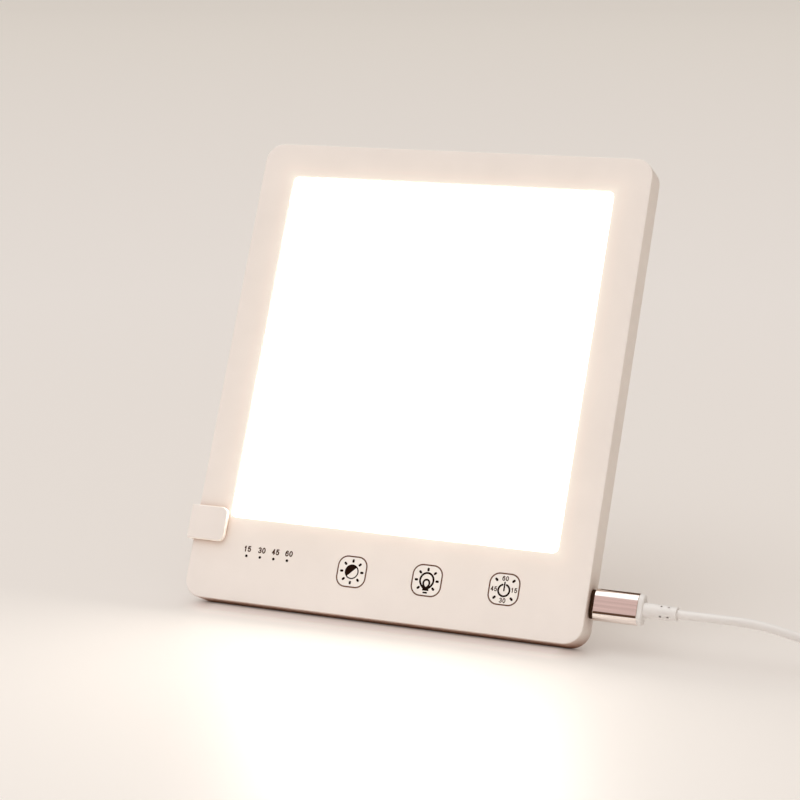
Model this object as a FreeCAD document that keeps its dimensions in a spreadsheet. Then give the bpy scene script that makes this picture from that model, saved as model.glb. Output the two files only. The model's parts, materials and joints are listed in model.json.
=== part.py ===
import FreeCAD, Part
import math
import os
from types import SimpleNamespace

import Sketcher
from FreeCAD import Placement, Rotation, Vector

# A light therapy lamp: a slim edge-lit panel that leans back on a clip-on stand with a swing leg,
# with a cord plugged into its right edge. Millimetres, +Z up, on a table at Z = 0.
# The panel's parts are drawn upright, with X to the right, Y to the back, Z up and the origin at
# the middle of the panel's rear bottom edge, and are then leaned back.
# The row's origin is on the table, under the middle of the lamp without its cord.

SIZES = {
    # panel
    "panel_width": (173, "outside width"),
    "panel_height": (199, "outside height"),
    "panel_depth": (12, "front face to rear cover"),
    "corner_radius": (7.8, "the four outer corners"),
    "front_round": (0.5, "edge round of the front face"),
    "rear_round": (0.5, "edge round of the rear rim"),
    "tilt": (25.86, "degrees that the panel leans back"),
    "side_wall": (1.6, "side wall of the front housing"),
    "face_thickness": (1.8, "front wall of the front housing"),
    "window_side": (14.9, "light window to the side edges"),
    "window_top": (14.5, "light window to the top edge"),
    "window_bottom": (34.9, "light window to the bottom edge"),
    "window_corner": (2.5, "corner radius of the window"),
    "window_round": (0.4, "edge round of the window's rim"),
    "window_recess": (0.4, "diffuser below the face"),
    "window_gap": (0.15, "diffuser to window edge"),
    # optical stack
    "flange_width": (2.6, "diffuser flange behind the face"),
    "flange_thickness": (1.2, "diffuser flange"),
    "film_thickness": (0.3, "diffusing film and reflector sheet"),
    "guide_thickness": (3.0, "light guide plate"),
    "spreader_thickness": (1.0, "aluminium channel behind the light guide"),
    "spreader_flange": (4.0, "height of the channel's flanges"),
    "strip_thickness": (1.2, "LED strip board"),
    "strip_width": (4.0, "LED strip board"),
    "strip_tail": (2.1, "strip beyond the lower end of the stack"),
    "chip_height": (0.8, "LED chip above its strip"),
    "chip_width": (2.8, "LED chip across the strip"),
    "chip_length": (3.5, "LED chip along the strip"),
    "chip_gap": (0.4, "LED chip to light guide"),
    "chip_count": (20, "LED chips on each strip"),
    # rear cover and its screws
    "cover_thickness": (1.6, "rear cover"),
    "cover_gap": (0.15, "rear cover to side wall"),
    "rib_thickness": (2.0, "pressing rib of the rear cover"),
    "rib_inset": (15.0, "pressing rib inside the optical stack's edge"),
    "boss_radius": (2.75, "screw boss"),
    "boss_margin": (5.0, "boss axis to side edge"),
    "boss_end_margin": (6.2, "boss axis to top and bottom edge"),
    "screw_radius": (1.0, "case screw thread"),
    "screw_head_radius": (1.9, "case screw head"),
    "screw_head_height": (1.0, "case screw head"),
    "screw_length": (6.0, "case screw below its head"),
    "screw_gap": (0.03, "screw thread in its boss"),
    "head_gap": (0.2, "screw head in its counterbore"),
    "drive_width": (0.5, "slot of the cross drive"),
    "drive_length": (2.2, "slot of the cross drive"),
    "drive_depth": (0.6, "slot of the cross drive"),
    "vent_width": (2.2, "vent slot"),
    "vent_length": (16.0, "vent slot"),
    "vent_pitch": (7.0, "vent slots"),
    "vent_count": (11, "vent slots"),
    "vent_top": (49.0, "middle of the vent row to the top edge"),
    # control board
    "key_pad_height": (1.4, "sensing pad between face and board"),
    "key_pad_radius": (6.0, "sensing pad"),
    "key_height": (18.0, "touch keys above the bottom edge"),
    "key_pitch": (32.65, "touch keys"),
    "key_right": (34.35, "right touch key to the right edge"),
    "board_thickness": (1.2, "control board"),
    "board_margin": (3.2, "control board above the bottom edge"),
    "board_gap": (1.0, "control board to the LED strips above it"),
    "board_side_gap": (1.0, "control board to the screw bosses"),
    "board_tab_height": (11.0, "board tab under the socket"),
    "board_tab_end": (2.2, "board tab end to the outer wall face"),
    "post_radius": (2.2, "board post"),
    "post_height_up": (8.4, "board posts above the bottom edge"),
    "post_left": (13.25, "left board post to the board's left end"),
    "post_right": (9.25, "right board post to the board's right end"),
    "post_middle": (3.0, "middle board post right of the middle"),
    "post_hole_depth": (2.3, "thread depth in a board post"),
    "small_screw_radius": (0.8, "board screw thread"),
    "small_head_radius": (1.6, "board screw head"),
    "small_head_height": (0.9, "board screw head"),
    "small_screw_length": (3.2, "board screw below its head"),
    "small_drive_length": (2.0, "slot of the board screw's cross drive"),
    "part_row": (18.0, "chips above the bottom edge"),
    "controller_place": (55.25, "controller chip to the board's right end"),
    "controller_side": (7.0, "controller chip, square"),
    "controller_rise": (1.0, "controller chip above the board"),
    "inductor_place": (37.25, "power inductor to the board's right end"),
    "inductor_side": (7.0, "power inductor, square"),
    "inductor_rise": (3.2, "power inductor above the board"),
    "driver_place": (97.25, "driver chip to the board's right end"),
    "driver_width": (5.0, "driver chip"),
    "driver_height": (4.0, "driver chip"),
    "driver_rise": (1.5, "driver chip above the board"),
    "capacitor_place": (17.25, "right capacitor to the board's right end"),
    "capacitor_pitch": (8.0, "capacitors"),
    "capacitor_row": (20.5, "capacitors above the bottom edge"),
    "capacitor_radius": (2.5, "capacitors"),
    "capacitor_gap": (0.8, "capacitors to the rear cover"),
    "connector_place": (8.25, "lead connector to the board's end"),
    "connector_top": (1.45, "lead connector to the board's upper edge"),
    "connector_width": (6.0, "lead connector"),
    "connector_height": (4.5, "lead connector"),
    "connector_rise": (3.4, "lead connector above the board"),
    "lead_radius": (0.5, "lead from connector to LED strip"),
    "lead_depth": (1.8, "lead behind the board's rear side"),
    "lead_start": (1.6, "straight start of a lead"),
    "lead_approach": (3.2, "last bend of a lead below the strip's end"),
    "lead_inset": (1.2, "last bend of a lead inside the strip"),
    "lead_end": (0.8, "end of a lead below the strip's middle"),
    "lead_seat": (0.6, "end of a lead behind the strip's edge"),
    # timer lights
    "timer_height": (19.3, "timer lights above the bottom edge"),
    "timer_left": (25.6, "first timer light to the left edge"),
    "timer_pitch": (6.17, "timer lights"),
    "timer_count": (4, "timer lights"),
    "pipe_radius": (0.5, "light pipe in the face"),
    "pipe_gap": (0.05, "light pipe in its hole"),
    "pipe_bar_height": (2.4, "bar that joins the light pipes"),
    "pipe_bar_thickness": (0.6, "bar that joins the light pipes"),
    "led_size": (1.0, "timer LED"),
    "led_rise": (0.6, "timer LED above the board"),
    # socket, to the common 24-pin cord standard
    "port_height": (17.65, "port axis above the bottom edge"),
    "socket_width": (8.94, "socket shell outside, along the panel's edge"),
    "socket_thickness": (3.16, "socket shell outside"),
    "socket_wall": (0.3, "socket shell"),
    "socket_length": (7.3, "socket shell"),
    "socket_base": (1.0, "insulator at the back of the socket"),
    "mouth_recess": (0.3, "socket mouth inside the wall face"),
    "port_gap": (0.15, "socket shell in the wall"),
    "recess_width": (10.4, "port recess in the wall"),
    "recess_thickness": (4.6, "port recess in the wall"),
    "recess_depth": (0.4, "port recess in the wall"),
    "tongue_width": (6.69, "tongue in the socket"),
    "tongue_thickness": (0.7, "tongue in the socket"),
    "tongue_length": (4.45, "tongue in the socket"),
    # plug
    "plug_width": (8.25, "plug shell outside"),
    "plug_thickness": (2.4, "plug shell outside"),
    "plug_wall": (0.25, "plug shell"),
    "plug_insert": (6.65, "plug shell beyond its collar"),
    "plug_tip": (0.2, "plug insulator behind the shell's tip"),
    "slot_gap": (0.1, "tongue in the plug's slot"),
    "slot_end_gap": (0.5, "tongue tip to the slot's end"),
    "shell_seat": (5.8, "plug shell held in the collar block"),
    "collar_gap": (0.2, "collar to the panel's wall"),
    "sleeve_gap": (1.7, "metal sleeve to the panel's wall"),
    "sleeve_width": (12.6, "metal sleeve outside"),
    "sleeve_thickness": (6.6, "metal sleeve outside"),
    "sleeve_wall": (0.6, "metal sleeve"),
    "sleeve_length": (17.6, "metal sleeve"),
    "sleeve_round": (0.25, "edge round of the metal sleeve"),
    "cap_length": (2.2, "end cap of the plug"),
    "cap_step": (0.25, "end cap inside the sleeve's outline"),
    "cap_round": (0.8, "edge round of the end cap"),
    "relief_length": (13.0, "strain relief"),
    "relief_root": (3.1, "strain relief radius at the cap"),
    "relief_tip": (2.7, "strain relief radius at the cord"),
    "dimple_radius": (0.5, "dimples of the strain relief"),
    "dimple_depth": (1.2, "dimples of the strain relief, at its tip's radius"),
    "dimple_pitch": (2.95, "rows of dimples along the strain relief"),
    "dimple_last": (3.2, "last row of dimples to the strain relief's tip"),
    "dimple_rows": (2, "rows of four dimples round the strain relief"),
    # cord
    "cord_radius": (1.8, "cord"),
    "coil_middle": (21.6, "mid radius of the coil"),
    "coil_turns": (9.5, "turns of the coil"),
    "layer_rise": (3.4, "upper layer of turns above the lower"),
    "coil_edge": (1.4, "corner radius of the coil's section"),
    "tie_width": (8.0, "tie round the coil"),
    "tie_thickness": (0.8, "tie round the coil"),
    "tie_gap": (0.3, "tie to the coil"),
    # flat four-pin plug at the far end
    "far_width": (15.6, "grip of the far plug"),
    "far_thickness": (7.8, "grip of the far plug"),
    "far_length": (19.0, "grip of the far plug"),
    "far_corner": (2.0, "corner radius of the far plug's grip"),
    "far_relief_length": (10.4, "strain relief of the far plug"),
    "far_shell_width": (12.0, "metal shell of the far plug"),
    "far_shell_thickness": (4.5, "metal shell of the far plug"),
    "far_shell_length": (11.9, "metal shell of the far plug"),
    "far_shell_wall": (0.35, "metal shell of the far plug"),
    "far_shell_seat": (3.0, "metal shell held in the grip"),
    "far_tongue_thickness": (1.84, "tongue of the far plug"),
    "far_window_length": (2.5, "latch windows of the far plug's shell"),
    "far_window_width": (2.2, "latch windows of the far plug's shell"),
    "far_window_tip": (6.4, "middle of the latch windows to the shell's tip"),
    "far_window_side": (2.9, "middle of a latch window to the plug's axis"),
    "far_left": (20.0, "cord end of the far plug left of the coil's middle"),
    "far_back": (32.15, "far plug behind the coil's middle"),
    # stand
    "tab_low": (23.9, "clip tab above the bottom edge"),
    "tab_height": (14.2, "clip tab and strap"),
    "tab_reach": (14.5, "clip tab over the face"),
    "tab_thickness": (2.1, "clip tab and its side wall"),
    "tab_corner": (2.7, "corner radius of the clip tab"),
    "tab_round": (0.5, "outer edges of the clip, strap and stand plate"),
    "slide_gap": (0.1, "clip to panel"),
    "plate_margin": (3.7, "stand plate beyond the hinge lugs"),
    "plate_low": (20.0, "stand plate above the bottom edge"),
    "plate_rise": (8.0, "stand plate above the leg hinge"),
    "plate_thickness": (3.0, "stand plate and strap"),
    "plate_corner": (6.0, "corner radius of the stand plate"),
    "rest_pad_thickness": (0.8, "soft pads between plate and rear cover"),
    "rest_pad_side": (7.0, "soft pads from the plate's side edges"),
    "rest_pad_height": (9.0, "soft pads"),
    "rest_pad_margin": (6.0, "soft pads from the plate's ends"),
    "hinge_height": (102.0, "leg hinge above the bottom edge"),
    "hinge_standoff": (4.2, "leg hinge axis behind the plate"),
    "lug_radius": (3.9, "hinge lugs"),
    "lug_width": (5.0, "hinge lugs"),
    "lug_gap": (0.3, "hinge lug to leg"),
    "pin_radius": (1.5, "hinge pin"),
    "pin_fit": (0.02, "hinge pin in the lugs"),
    "pin_running_gap": (0.05, "hinge pin in the leg"),
    "leg_splay": (25.0, "degrees of the leg from upright"),
    "leg_width": (40.0, "swing leg"),
    "leg_thickness": (3.2, "swing leg"),
    "leg_round": (0.8, "long edges of the swing leg"),
    "recess_border": (5.0, "recess in the leg's back to its side edges"),
    "recess_top": (10.0, "recess in the leg's back below the hinge axis"),
    "recess_foot": (13.0, "recess in the leg's back above the foot's middle"),
    "recess_corner": (3.0, "corner radius of the recess in the leg's back"),
    "recess_sink": (0.7, "depth of the recess in the leg's back"),
    "barrel_radius": (3.4, "hinge barrel of the leg"),
    "heel_height": (5.5, "stop heel above the hinge axis"),
    "heel_gap": (0.05, "stop heel to plate"),
    "heel_thickness": (3.6, "stop heel"),
    "foot_margin": (5.0, "foot beyond the leg on each side"),
    "foot_depth": (9.0, "foot of the leg, front to back"),
    "foot_height": (4.5, "foot of the leg"),
    "foot_round": (0.8, "end edges of the foot"),
    "foot_overlap": (3.5, "leg end above the table inside the foot"),
    "pad_side_inset": (2.0, "rubber pad inside the foot's ends"),
    "pad_edge_inset": (0.5, "rubber pad inside the foot's front and back"),
    "pad_thickness": (1.5, "rubber pad"),
    "pad_corner": (2.0, "corner radius of the rubber pad"),
}

doc = FreeCAD.newDocument("light_therapy_lamp")
sheet = doc.addObject("Spreadsheet::Sheet", "sizes")
for row, (alias, (number, note)) in enumerate(SIZES.items(), start=1):
    sheet.set(f"A{row}", alias)
    sheet.set(f"B{row}", str(number))
    sheet.setAlias(f"B{row}", alias)
    sheet.set(f"C{row}", note)
doc.recompute()


class Size:
    """A number together with the expression that gives it from the sheet."""

    def __init__(self, value, text):
        self.value = float(value)
        self.text = text

    def __add__(self, other):
        other = as_size(other)
        return Size(self.value + other.value, f"({self.text} + {other.text})")

    def __sub__(self, other):
        other = as_size(other)
        return Size(self.value - other.value, f"({self.text} - {other.text})")

    def __mul__(self, other):
        other = as_size(other)
        return Size(self.value * other.value, f"({self.text} * {other.text})")

    def __truediv__(self, other):
        other = as_size(other)
        return Size(self.value / other.value, f"({self.text} / {other.text})")

    def __neg__(self):
        return Size(-self.value, f"(0 - {self.text})")


def as_size(number):
    return number if isinstance(number, Size) else Size(number, f"({number})")


def sine(angle):
    return Size(math.sin(math.radians(angle.value)), f"sin({angle.text})")


def cosine(angle):
    return Size(math.cos(math.radians(angle.value)), f"cos({angle.text})")


p = SimpleNamespace(**{alias: Size(sheet.get(alias), f"sizes.{alias}") for alias in SIZES})
ZERO = as_size(0)
PARTS = []


# ---------------------------------------------------------------- places worked out from the sizes
# Depths in the panel are counted forward from its rear face.
HALF_WIDTH = p.panel_width / 2
FACE_BACK = p.panel_depth - p.face_thickness
HALF_WINDOW = HALF_WIDTH - p.window_side
WINDOW_LOW = p.window_bottom
WINDOW_HIGH = p.panel_height - p.window_top
STACK_SIDE = HALF_WINDOW + p.flange_width
STACK_LOW = WINDOW_LOW - p.flange_width
STACK_HIGH = WINDOW_HIGH + p.flange_width
DIFFUSER_BACK = FACE_BACK - p.flange_thickness
FILM_BACK = DIFFUSER_BACK - p.film_thickness
GUIDE_BACK = FILM_BACK - p.guide_thickness
REFLECTOR_BACK = GUIDE_BACK - p.film_thickness
SPREADER_BACK = REFLECTOR_BACK - p.spreader_thickness
STRIP_SIDE = STACK_SIDE + p.chip_gap + p.chip_height
SPREADER_SIDE = STRIP_SIDE + p.strip_thickness + p.spreader_thickness
BOSS_SIDE = HALF_WIDTH - p.boss_margin
BOSS_HEIGHTS = (p.boss_end_margin, p.panel_height / 2, p.panel_height - p.boss_end_margin)
BOARD_FRONT = FACE_BACK - p.key_pad_height
BOARD_BACK = BOARD_FRONT - p.board_thickness
BOARD_SIDE = BOSS_SIDE - p.boss_radius - p.board_side_gap
STRIP_LOW = STACK_LOW - p.strip_tail
BOARD_HIGH = STRIP_LOW - p.board_gap
POSTS = (p.post_left - BOARD_SIDE, p.post_middle, BOARD_SIDE - p.post_right)
KEY_RIGHT = HALF_WIDTH - p.key_right
KEYS = (KEY_RIGHT - p.key_pitch * 2, KEY_RIGHT - p.key_pitch, KEY_RIGHT)
TIMER_LIGHTS = [
    p.timer_left - HALF_WIDTH + p.timer_pitch * index for index in range(int(p.timer_count.value))
]
CONNECTOR_SIDE = BOARD_SIDE - p.connector_place
CONNECTOR_HIGH = BOARD_HIGH - p.connector_top
PORT_DEPTH = BOARD_BACK - p.socket_thickness / 2
SOCKET_MOUTH = HALF_WIDTH - p.mouth_recess
SOCKET_BACK = SOCKET_MOUTH - p.socket_length
TONGUE_TIP = SOCKET_BACK + p.socket_base + p.tongue_length
COLLAR_FACE = HALF_WIDTH + p.collar_gap
PLUG_TIP = COLLAR_FACE - p.plug_insert
SLEEVE_START = HALF_WIDTH + p.sleeve_gap
SLEEVE_END = SLEEVE_START + p.sleeve_length
CAP_END = SLEEVE_END + p.cap_length
RELIEF_END = CAP_END + p.relief_length

PLATE_FRONT = p.slide_gap + p.rest_pad_thickness
PLATE_BACK = PLATE_FRONT + p.plate_thickness
HINGE_BACK = PLATE_BACK + p.hinge_standoff
FOLD = p.tilt + p.leg_splay
EDGE_DROP = p.rear_round * (sine(p.tilt) + cosine(p.tilt) - 1)
PLATE_HALF = p.leg_width / 2 + p.lug_gap + p.lug_width + p.plate_margin
PLATE_HIGH = p.hinge_height + p.plate_rise
FOOT_HALF = p.leg_width / 2 + p.foot_margin
HINGE_Y = HINGE_BACK * cosine(p.tilt) + p.hinge_height * sine(p.tilt)
HINGE_Z = p.hinge_height * cosine(p.tilt) - HINGE_BACK * sine(p.tilt) - EDGE_DROP
LEG_LENGTH = HINGE_Z / cosine(p.leg_splay)
FOOT_Y = HINGE_Y + LEG_LENGTH * sine(p.leg_splay)

# The lamp's foremost point is on the round of its lower front edge, its rearmost on the foot.
FRONT_Y = (p.front_round - p.panel_depth) * cosine(p.tilt) + p.front_round * (sine(p.tilt) - 1)
BACK_Y = FOOT_Y + p.foot_depth / 2
CLIP_SIDE = p.slide_gap + p.tab_thickness
TABLE_SHIFT = Vector((CLIP_SIDE / 2).value, -((FRONT_Y + BACK_Y) / 2).value, 0)
LEANING = Rotation(Vector(1, 0, 0), -p.tilt.value)
PANEL_PLACE = Placement(TABLE_SHIFT - Vector(0, 0, EDGE_DROP.value), LEANING)
HINGE_POINT = TABLE_SHIFT + Vector(0, HINGE_Y.value, HINGE_Z.value)
LEG_PLACE = Placement(HINGE_POINT, Rotation(Vector(1, 0, 0), p.leg_splay.value))
FOOT_PLACE = Placement(TABLE_SHIFT + Vector(0, FOOT_Y.value, 0), Rotation())
PORT_POINT = PANEL_PLACE.multVec(Vector(0, -PORT_DEPTH.value, p.port_height.value))
CORD_EXIT = PORT_POINT + Vector(RELIEF_END.value, 0, 0)

# The cord's free run, from the strain relief to the coil's foremost lower turn, in the row frame.
CORD_ROUTE = [
    (CORD_EXIT.x, CORD_EXIT.y, CORD_EXIT.z),
    (136.0, CORD_EXIT.y, CORD_EXIT.z),
    (153.0, -40.7, 18.3),
    (171.0, -40.0, 14.4),
    (188.0, -39.1, 9.4),
    (202.0, -37.8, 5.3),
    (213.0, -36.3, 2.7),
    (223.0, -34.75, 1.9),
]
CORD_GAUGE = p.cord_radius * 2
COIL_SPREAD = CORD_GAUGE * (p.coil_turns / 4)
COIL_OUTER = p.coil_middle + COIL_SPREAD + p.cord_radius
COIL_INNER = p.coil_middle - COIL_SPREAD - p.cord_radius
COIL_TOP = CORD_GAUGE + p.layer_rise
TURN_RADIUS = (p.coil_middle + COIL_SPREAD).value
COIL_CENTRE = Vector(CORD_ROUTE[-1][0], CORD_ROUTE[-1][1] + TURN_RADIUS, 0)
FAR_POINT = COIL_CENTRE + Vector(
    -p.far_left.value, p.far_back.value, (p.far_thickness / 2).value
)
CORD_TAIL = [
    (COIL_CENTRE.x, COIL_CENTRE.y + TURN_RADIUS, (p.cord_radius + p.layer_rise).value),
    ((COIL_CENTRE.x + FAR_POINT.x) / 2, FAR_POINT.y, FAR_POINT.z),
    (FAR_POINT.x, FAR_POINT.y, FAR_POINT.z),
]


# ---------------------------------------------------------------- sketches and features
def finished(feature, label, place=None):
    """Marks an object as a sub-part, with its own label and, if given, its place."""
    feature.Label = label
    if place is not None:
        feature.Placement = place
    PARTS.append(feature)
    return feature


def new_body(label, place):
    body = doc.addObject("PartDesign::Body", label)
    return finished(body, label, place)


def new_sketch(body, plane, lift=ZERO):
    """A sketch on one of the body's own origin planes, lifted along that plane's normal.
    XZ_Plane faces the front: its sketches have X to the right and Z up, and lift is a depth."""
    sketch = body.newObject("Sketcher::SketchObject", "Sketch")
    origin_plane = next(f for f in body.Origin.OriginFeatures if f.Role == plane)
    sketch.AttachmentSupport = (origin_plane, [""])
    sketch.MapMode = "FlatFace"
    sketch.setExpression("AttachmentOffset.Base.z", lift.text)
    return sketch


def bind(sketch, kind, *where_and_size):
    """Adds one dimension to a sketch and ties it to its expression."""
    *where, size = where_and_size
    index = sketch.addConstraint(Sketcher.Constraint(kind, *where, size.value))
    sketch.setExpression(f"Constraints[{index}]", size.text)


def add_line(sketch, start, end):
    return sketch.addGeometry(Part.LineSegment(Vector(*start, 0), Vector(*end, 0)), False)


def add_arc(sketch, x, y, radius, first, last):
    circle = Part.Circle(Vector(x, y, 0), Vector(0, 0, 1), radius)
    arc = Part.ArcOfCircle(circle, math.radians(first), math.radians(last))
    return sketch.addGeometry(arc, False)


def add_circle(sketch, x, y, radius):
    circle = Part.Circle(Vector(x.value, y.value, 0), Vector(0, 0, 1), radius.value)
    index = sketch.addGeometry(circle, False)
    bind(sketch, "DistanceX", index, 3, x)
    bind(sketch, "DistanceY", index, 3, y)
    bind(sketch, "Radius", index, radius)


def add_polygon(sketch, points):
    """A closed outline of straight lines whose every corner is dimensioned from the origin."""
    values = [(x.value, y.value) for x, y in points]
    lines = [add_line(sketch, a, b) for a, b in zip(values, values[1:] + values[:1])]
    for line, following, (x, y) in zip(lines, lines[1:] + lines[:1], points[1:] + points[:1]):
        sketch.addConstraint(Sketcher.Constraint("Coincident", line, 2, following, 1))
        bind(sketch, "DistanceX", following, 1, x)
        bind(sketch, "DistanceY", following, 1, y)


def add_rectangle(sketch, left, right, low, high):
    add_polygon(sketch, [(left, low), (right, low), (right, high), (left, high)])


def add_rounded_rectangle(sketch, left, right, low, high, radius):
    """A rectangle with four equal corner arcs, fixed by its four sides and the corner radius."""
    west, east, south, north, r = (s.value for s in (left, right, low, high, radius))
    arcs = [
        add_arc(sketch, east - r, north - r, r, 0, 90),
        add_arc(sketch, west + r, north - r, r, 90, 180),
        add_arc(sketch, west + r, south + r, r, 180, 270),
        add_arc(sketch, east - r, south + r, r, 270, 360),
    ]
    lines = [
        add_line(sketch, (east - r, north), (west + r, north)),
        add_line(sketch, (west, north - r), (west, south + r)),
        add_line(sketch, (west + r, south), (east - r, south)),
        add_line(sketch, (east, south + r), (east, north - r)),
    ]
    for index, line in enumerate(lines):
        sketch.addConstraint(Sketcher.Constraint("Tangent", arcs[index], 2, line, 1))
        sketch.addConstraint(Sketcher.Constraint("Tangent", line, 2, arcs[(index + 1) % 4], 1))
    sketch.addConstraint(Sketcher.Constraint("Horizontal", lines[0]))
    sketch.addConstraint(Sketcher.Constraint("Vertical", lines[1]))
    sketch.addConstraint(Sketcher.Constraint("Horizontal", lines[2]))
    sketch.addConstraint(Sketcher.Constraint("Vertical", lines[3]))
    for arc in arcs[1:]:
        sketch.addConstraint(Sketcher.Constraint("Equal", arcs[0], arc))
    bind(sketch, "Radius", arcs[0], radius)
    bind(sketch, "DistanceY", lines[0], 1, high)
    bind(sketch, "DistanceX", lines[1], 1, left)
    bind(sketch, "DistanceY", lines[2], 1, low)
    bind(sketch, "DistanceX", lines[3], 1, right)


def add_stadium(sketch, x, y, length, width):
    """A slot outline whose long axis is upright, with half-round ends."""
    radius = width / 2
    reach = length / 2 - radius
    r, top, foot = radius.value, (y + reach).value, (y - reach).value
    upper = add_arc(sketch, x.value, top, r, 0, 180)
    lower = add_arc(sketch, x.value, foot, r, 180, 360)
    right = add_line(sketch, (x.value + r, foot), (x.value + r, top))
    left = add_line(sketch, (x.value - r, top), (x.value - r, foot))
    sketch.addConstraint(Sketcher.Constraint("Tangent", right, 2, upper, 1))
    sketch.addConstraint(Sketcher.Constraint("Tangent", upper, 2, left, 1))
    sketch.addConstraint(Sketcher.Constraint("Tangent", left, 2, lower, 1))
    sketch.addConstraint(Sketcher.Constraint("Tangent", lower, 2, right, 1))
    sketch.addConstraint(Sketcher.Constraint("Vertical", right))
    sketch.addConstraint(Sketcher.Constraint("Equal", upper, lower))
    bind(sketch, "Radius", upper, radius)
    bind(sketch, "DistanceX", upper, 3, x)
    bind(sketch, "DistanceY", upper, 3, y + reach)
    bind(sketch, "DistanceY", lower, 3, y - reach)


def pad(body, sketch, length, against=False, both_ways=False):
    """Adds material along the sketch's normal, against it, or half to each side."""
    feature = body.newObject("PartDesign::Pad", "Pad")
    feature.Profile = sketch
    feature.setExpression("Length", length.text)
    feature.Reversed = against
    if both_ways:
        feature.SideType = "Symmetric"
    return feature


def pocket(body, sketch, depth, along=False, both_ways=False):
    """Cuts against the sketch's normal, along it, or half to each side, and checks the loss."""
    doc.recompute()
    before = body.Shape.Volume
    feature = body.newObject("PartDesign::Pocket", "Pocket")
    feature.Profile = sketch
    feature.setExpression("Length", depth.text)
    feature.Reversed = along
    if both_ways:
        feature.SideType = "Symmetric"
    doc.recompute()
    if body.Shape.Volume >= before - 1e-3:
        raise RuntimeError(f"a pocket of {body.Label} cuts nothing")
    return feature


TOUCHING = 1e-4


def round_edges(body, base, wanted, radius):
    """Rounds the edges of a feature for whose bounding box wanted holds."""
    doc.recompute()
    names = [f"Edge{number}" for number, edge in enumerate(base.Shape.Edges, start=1)
             if wanted(edge.BoundBox)]
    if not names:
        raise RuntimeError(f"{body.Label} has no edge to round")
    feature = body.newObject("PartDesign::Fillet", "Fillet")
    feature.Base = (base, names)
    feature.setExpression("Radius", radius.text)
    return feature


def flat_at(axis, place):
    """A test for the box of an edge that lies in the plane where a coordinate has one value."""
    low, high = axis + "Min", axis + "Max"
    return lambda box: (
        abs(getattr(box, low) - place.value) < TOUCHING
        and abs(getattr(box, high) - place.value) < TOUCHING
    )


def new_box(name, place, width, depth, height):
    """A Part box with its sizes tied to the sheet; place is its low corner."""
    box = doc.addObject("Part::Box", name)
    for side, size in (("Length", width), ("Width", depth), ("Height", height)):
        box.setExpression(side, size.text)
    for axis, size in zip("xyz", place):
        box.setExpression(f"Placement.Base.{axis}", size.text)
    return box


def new_cylinder(name, place, radius, height, direction=Vector(0, 0, 1)):
    """A Part cylinder from place along direction."""
    cylinder = doc.addObject("Part::Cylinder", name)
    cylinder.setExpression("Radius", radius.text)
    cylinder.setExpression("Height", height.text)
    cylinder.Placement = Placement(Vector(), Rotation(Vector(0, 0, 1), direction))
    for axis, size in zip("xyz", place):
        cylinder.setExpression(f"Placement.Base.{axis}", size.text)
    return cylinder


def joined(name, shapes):
    fusion = doc.addObject("Part::MultiFuse", name)
    fusion.Shapes = shapes
    return fusion


def without(name, base, tools):
    cut = doc.addObject("Part::Cut", name)
    cut.Base = base
    cut.Tool = tools[0] if len(tools) == 1 else joined(name + "_tools", tools)
    return cut


def group(name, members):
    compound = doc.addObject("Part::Compound", name)
    compound.Links = members
    return compound


FORWARD = Vector(0, -1, 0)
ALONG_X = Vector(1, 0, 0)


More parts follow.
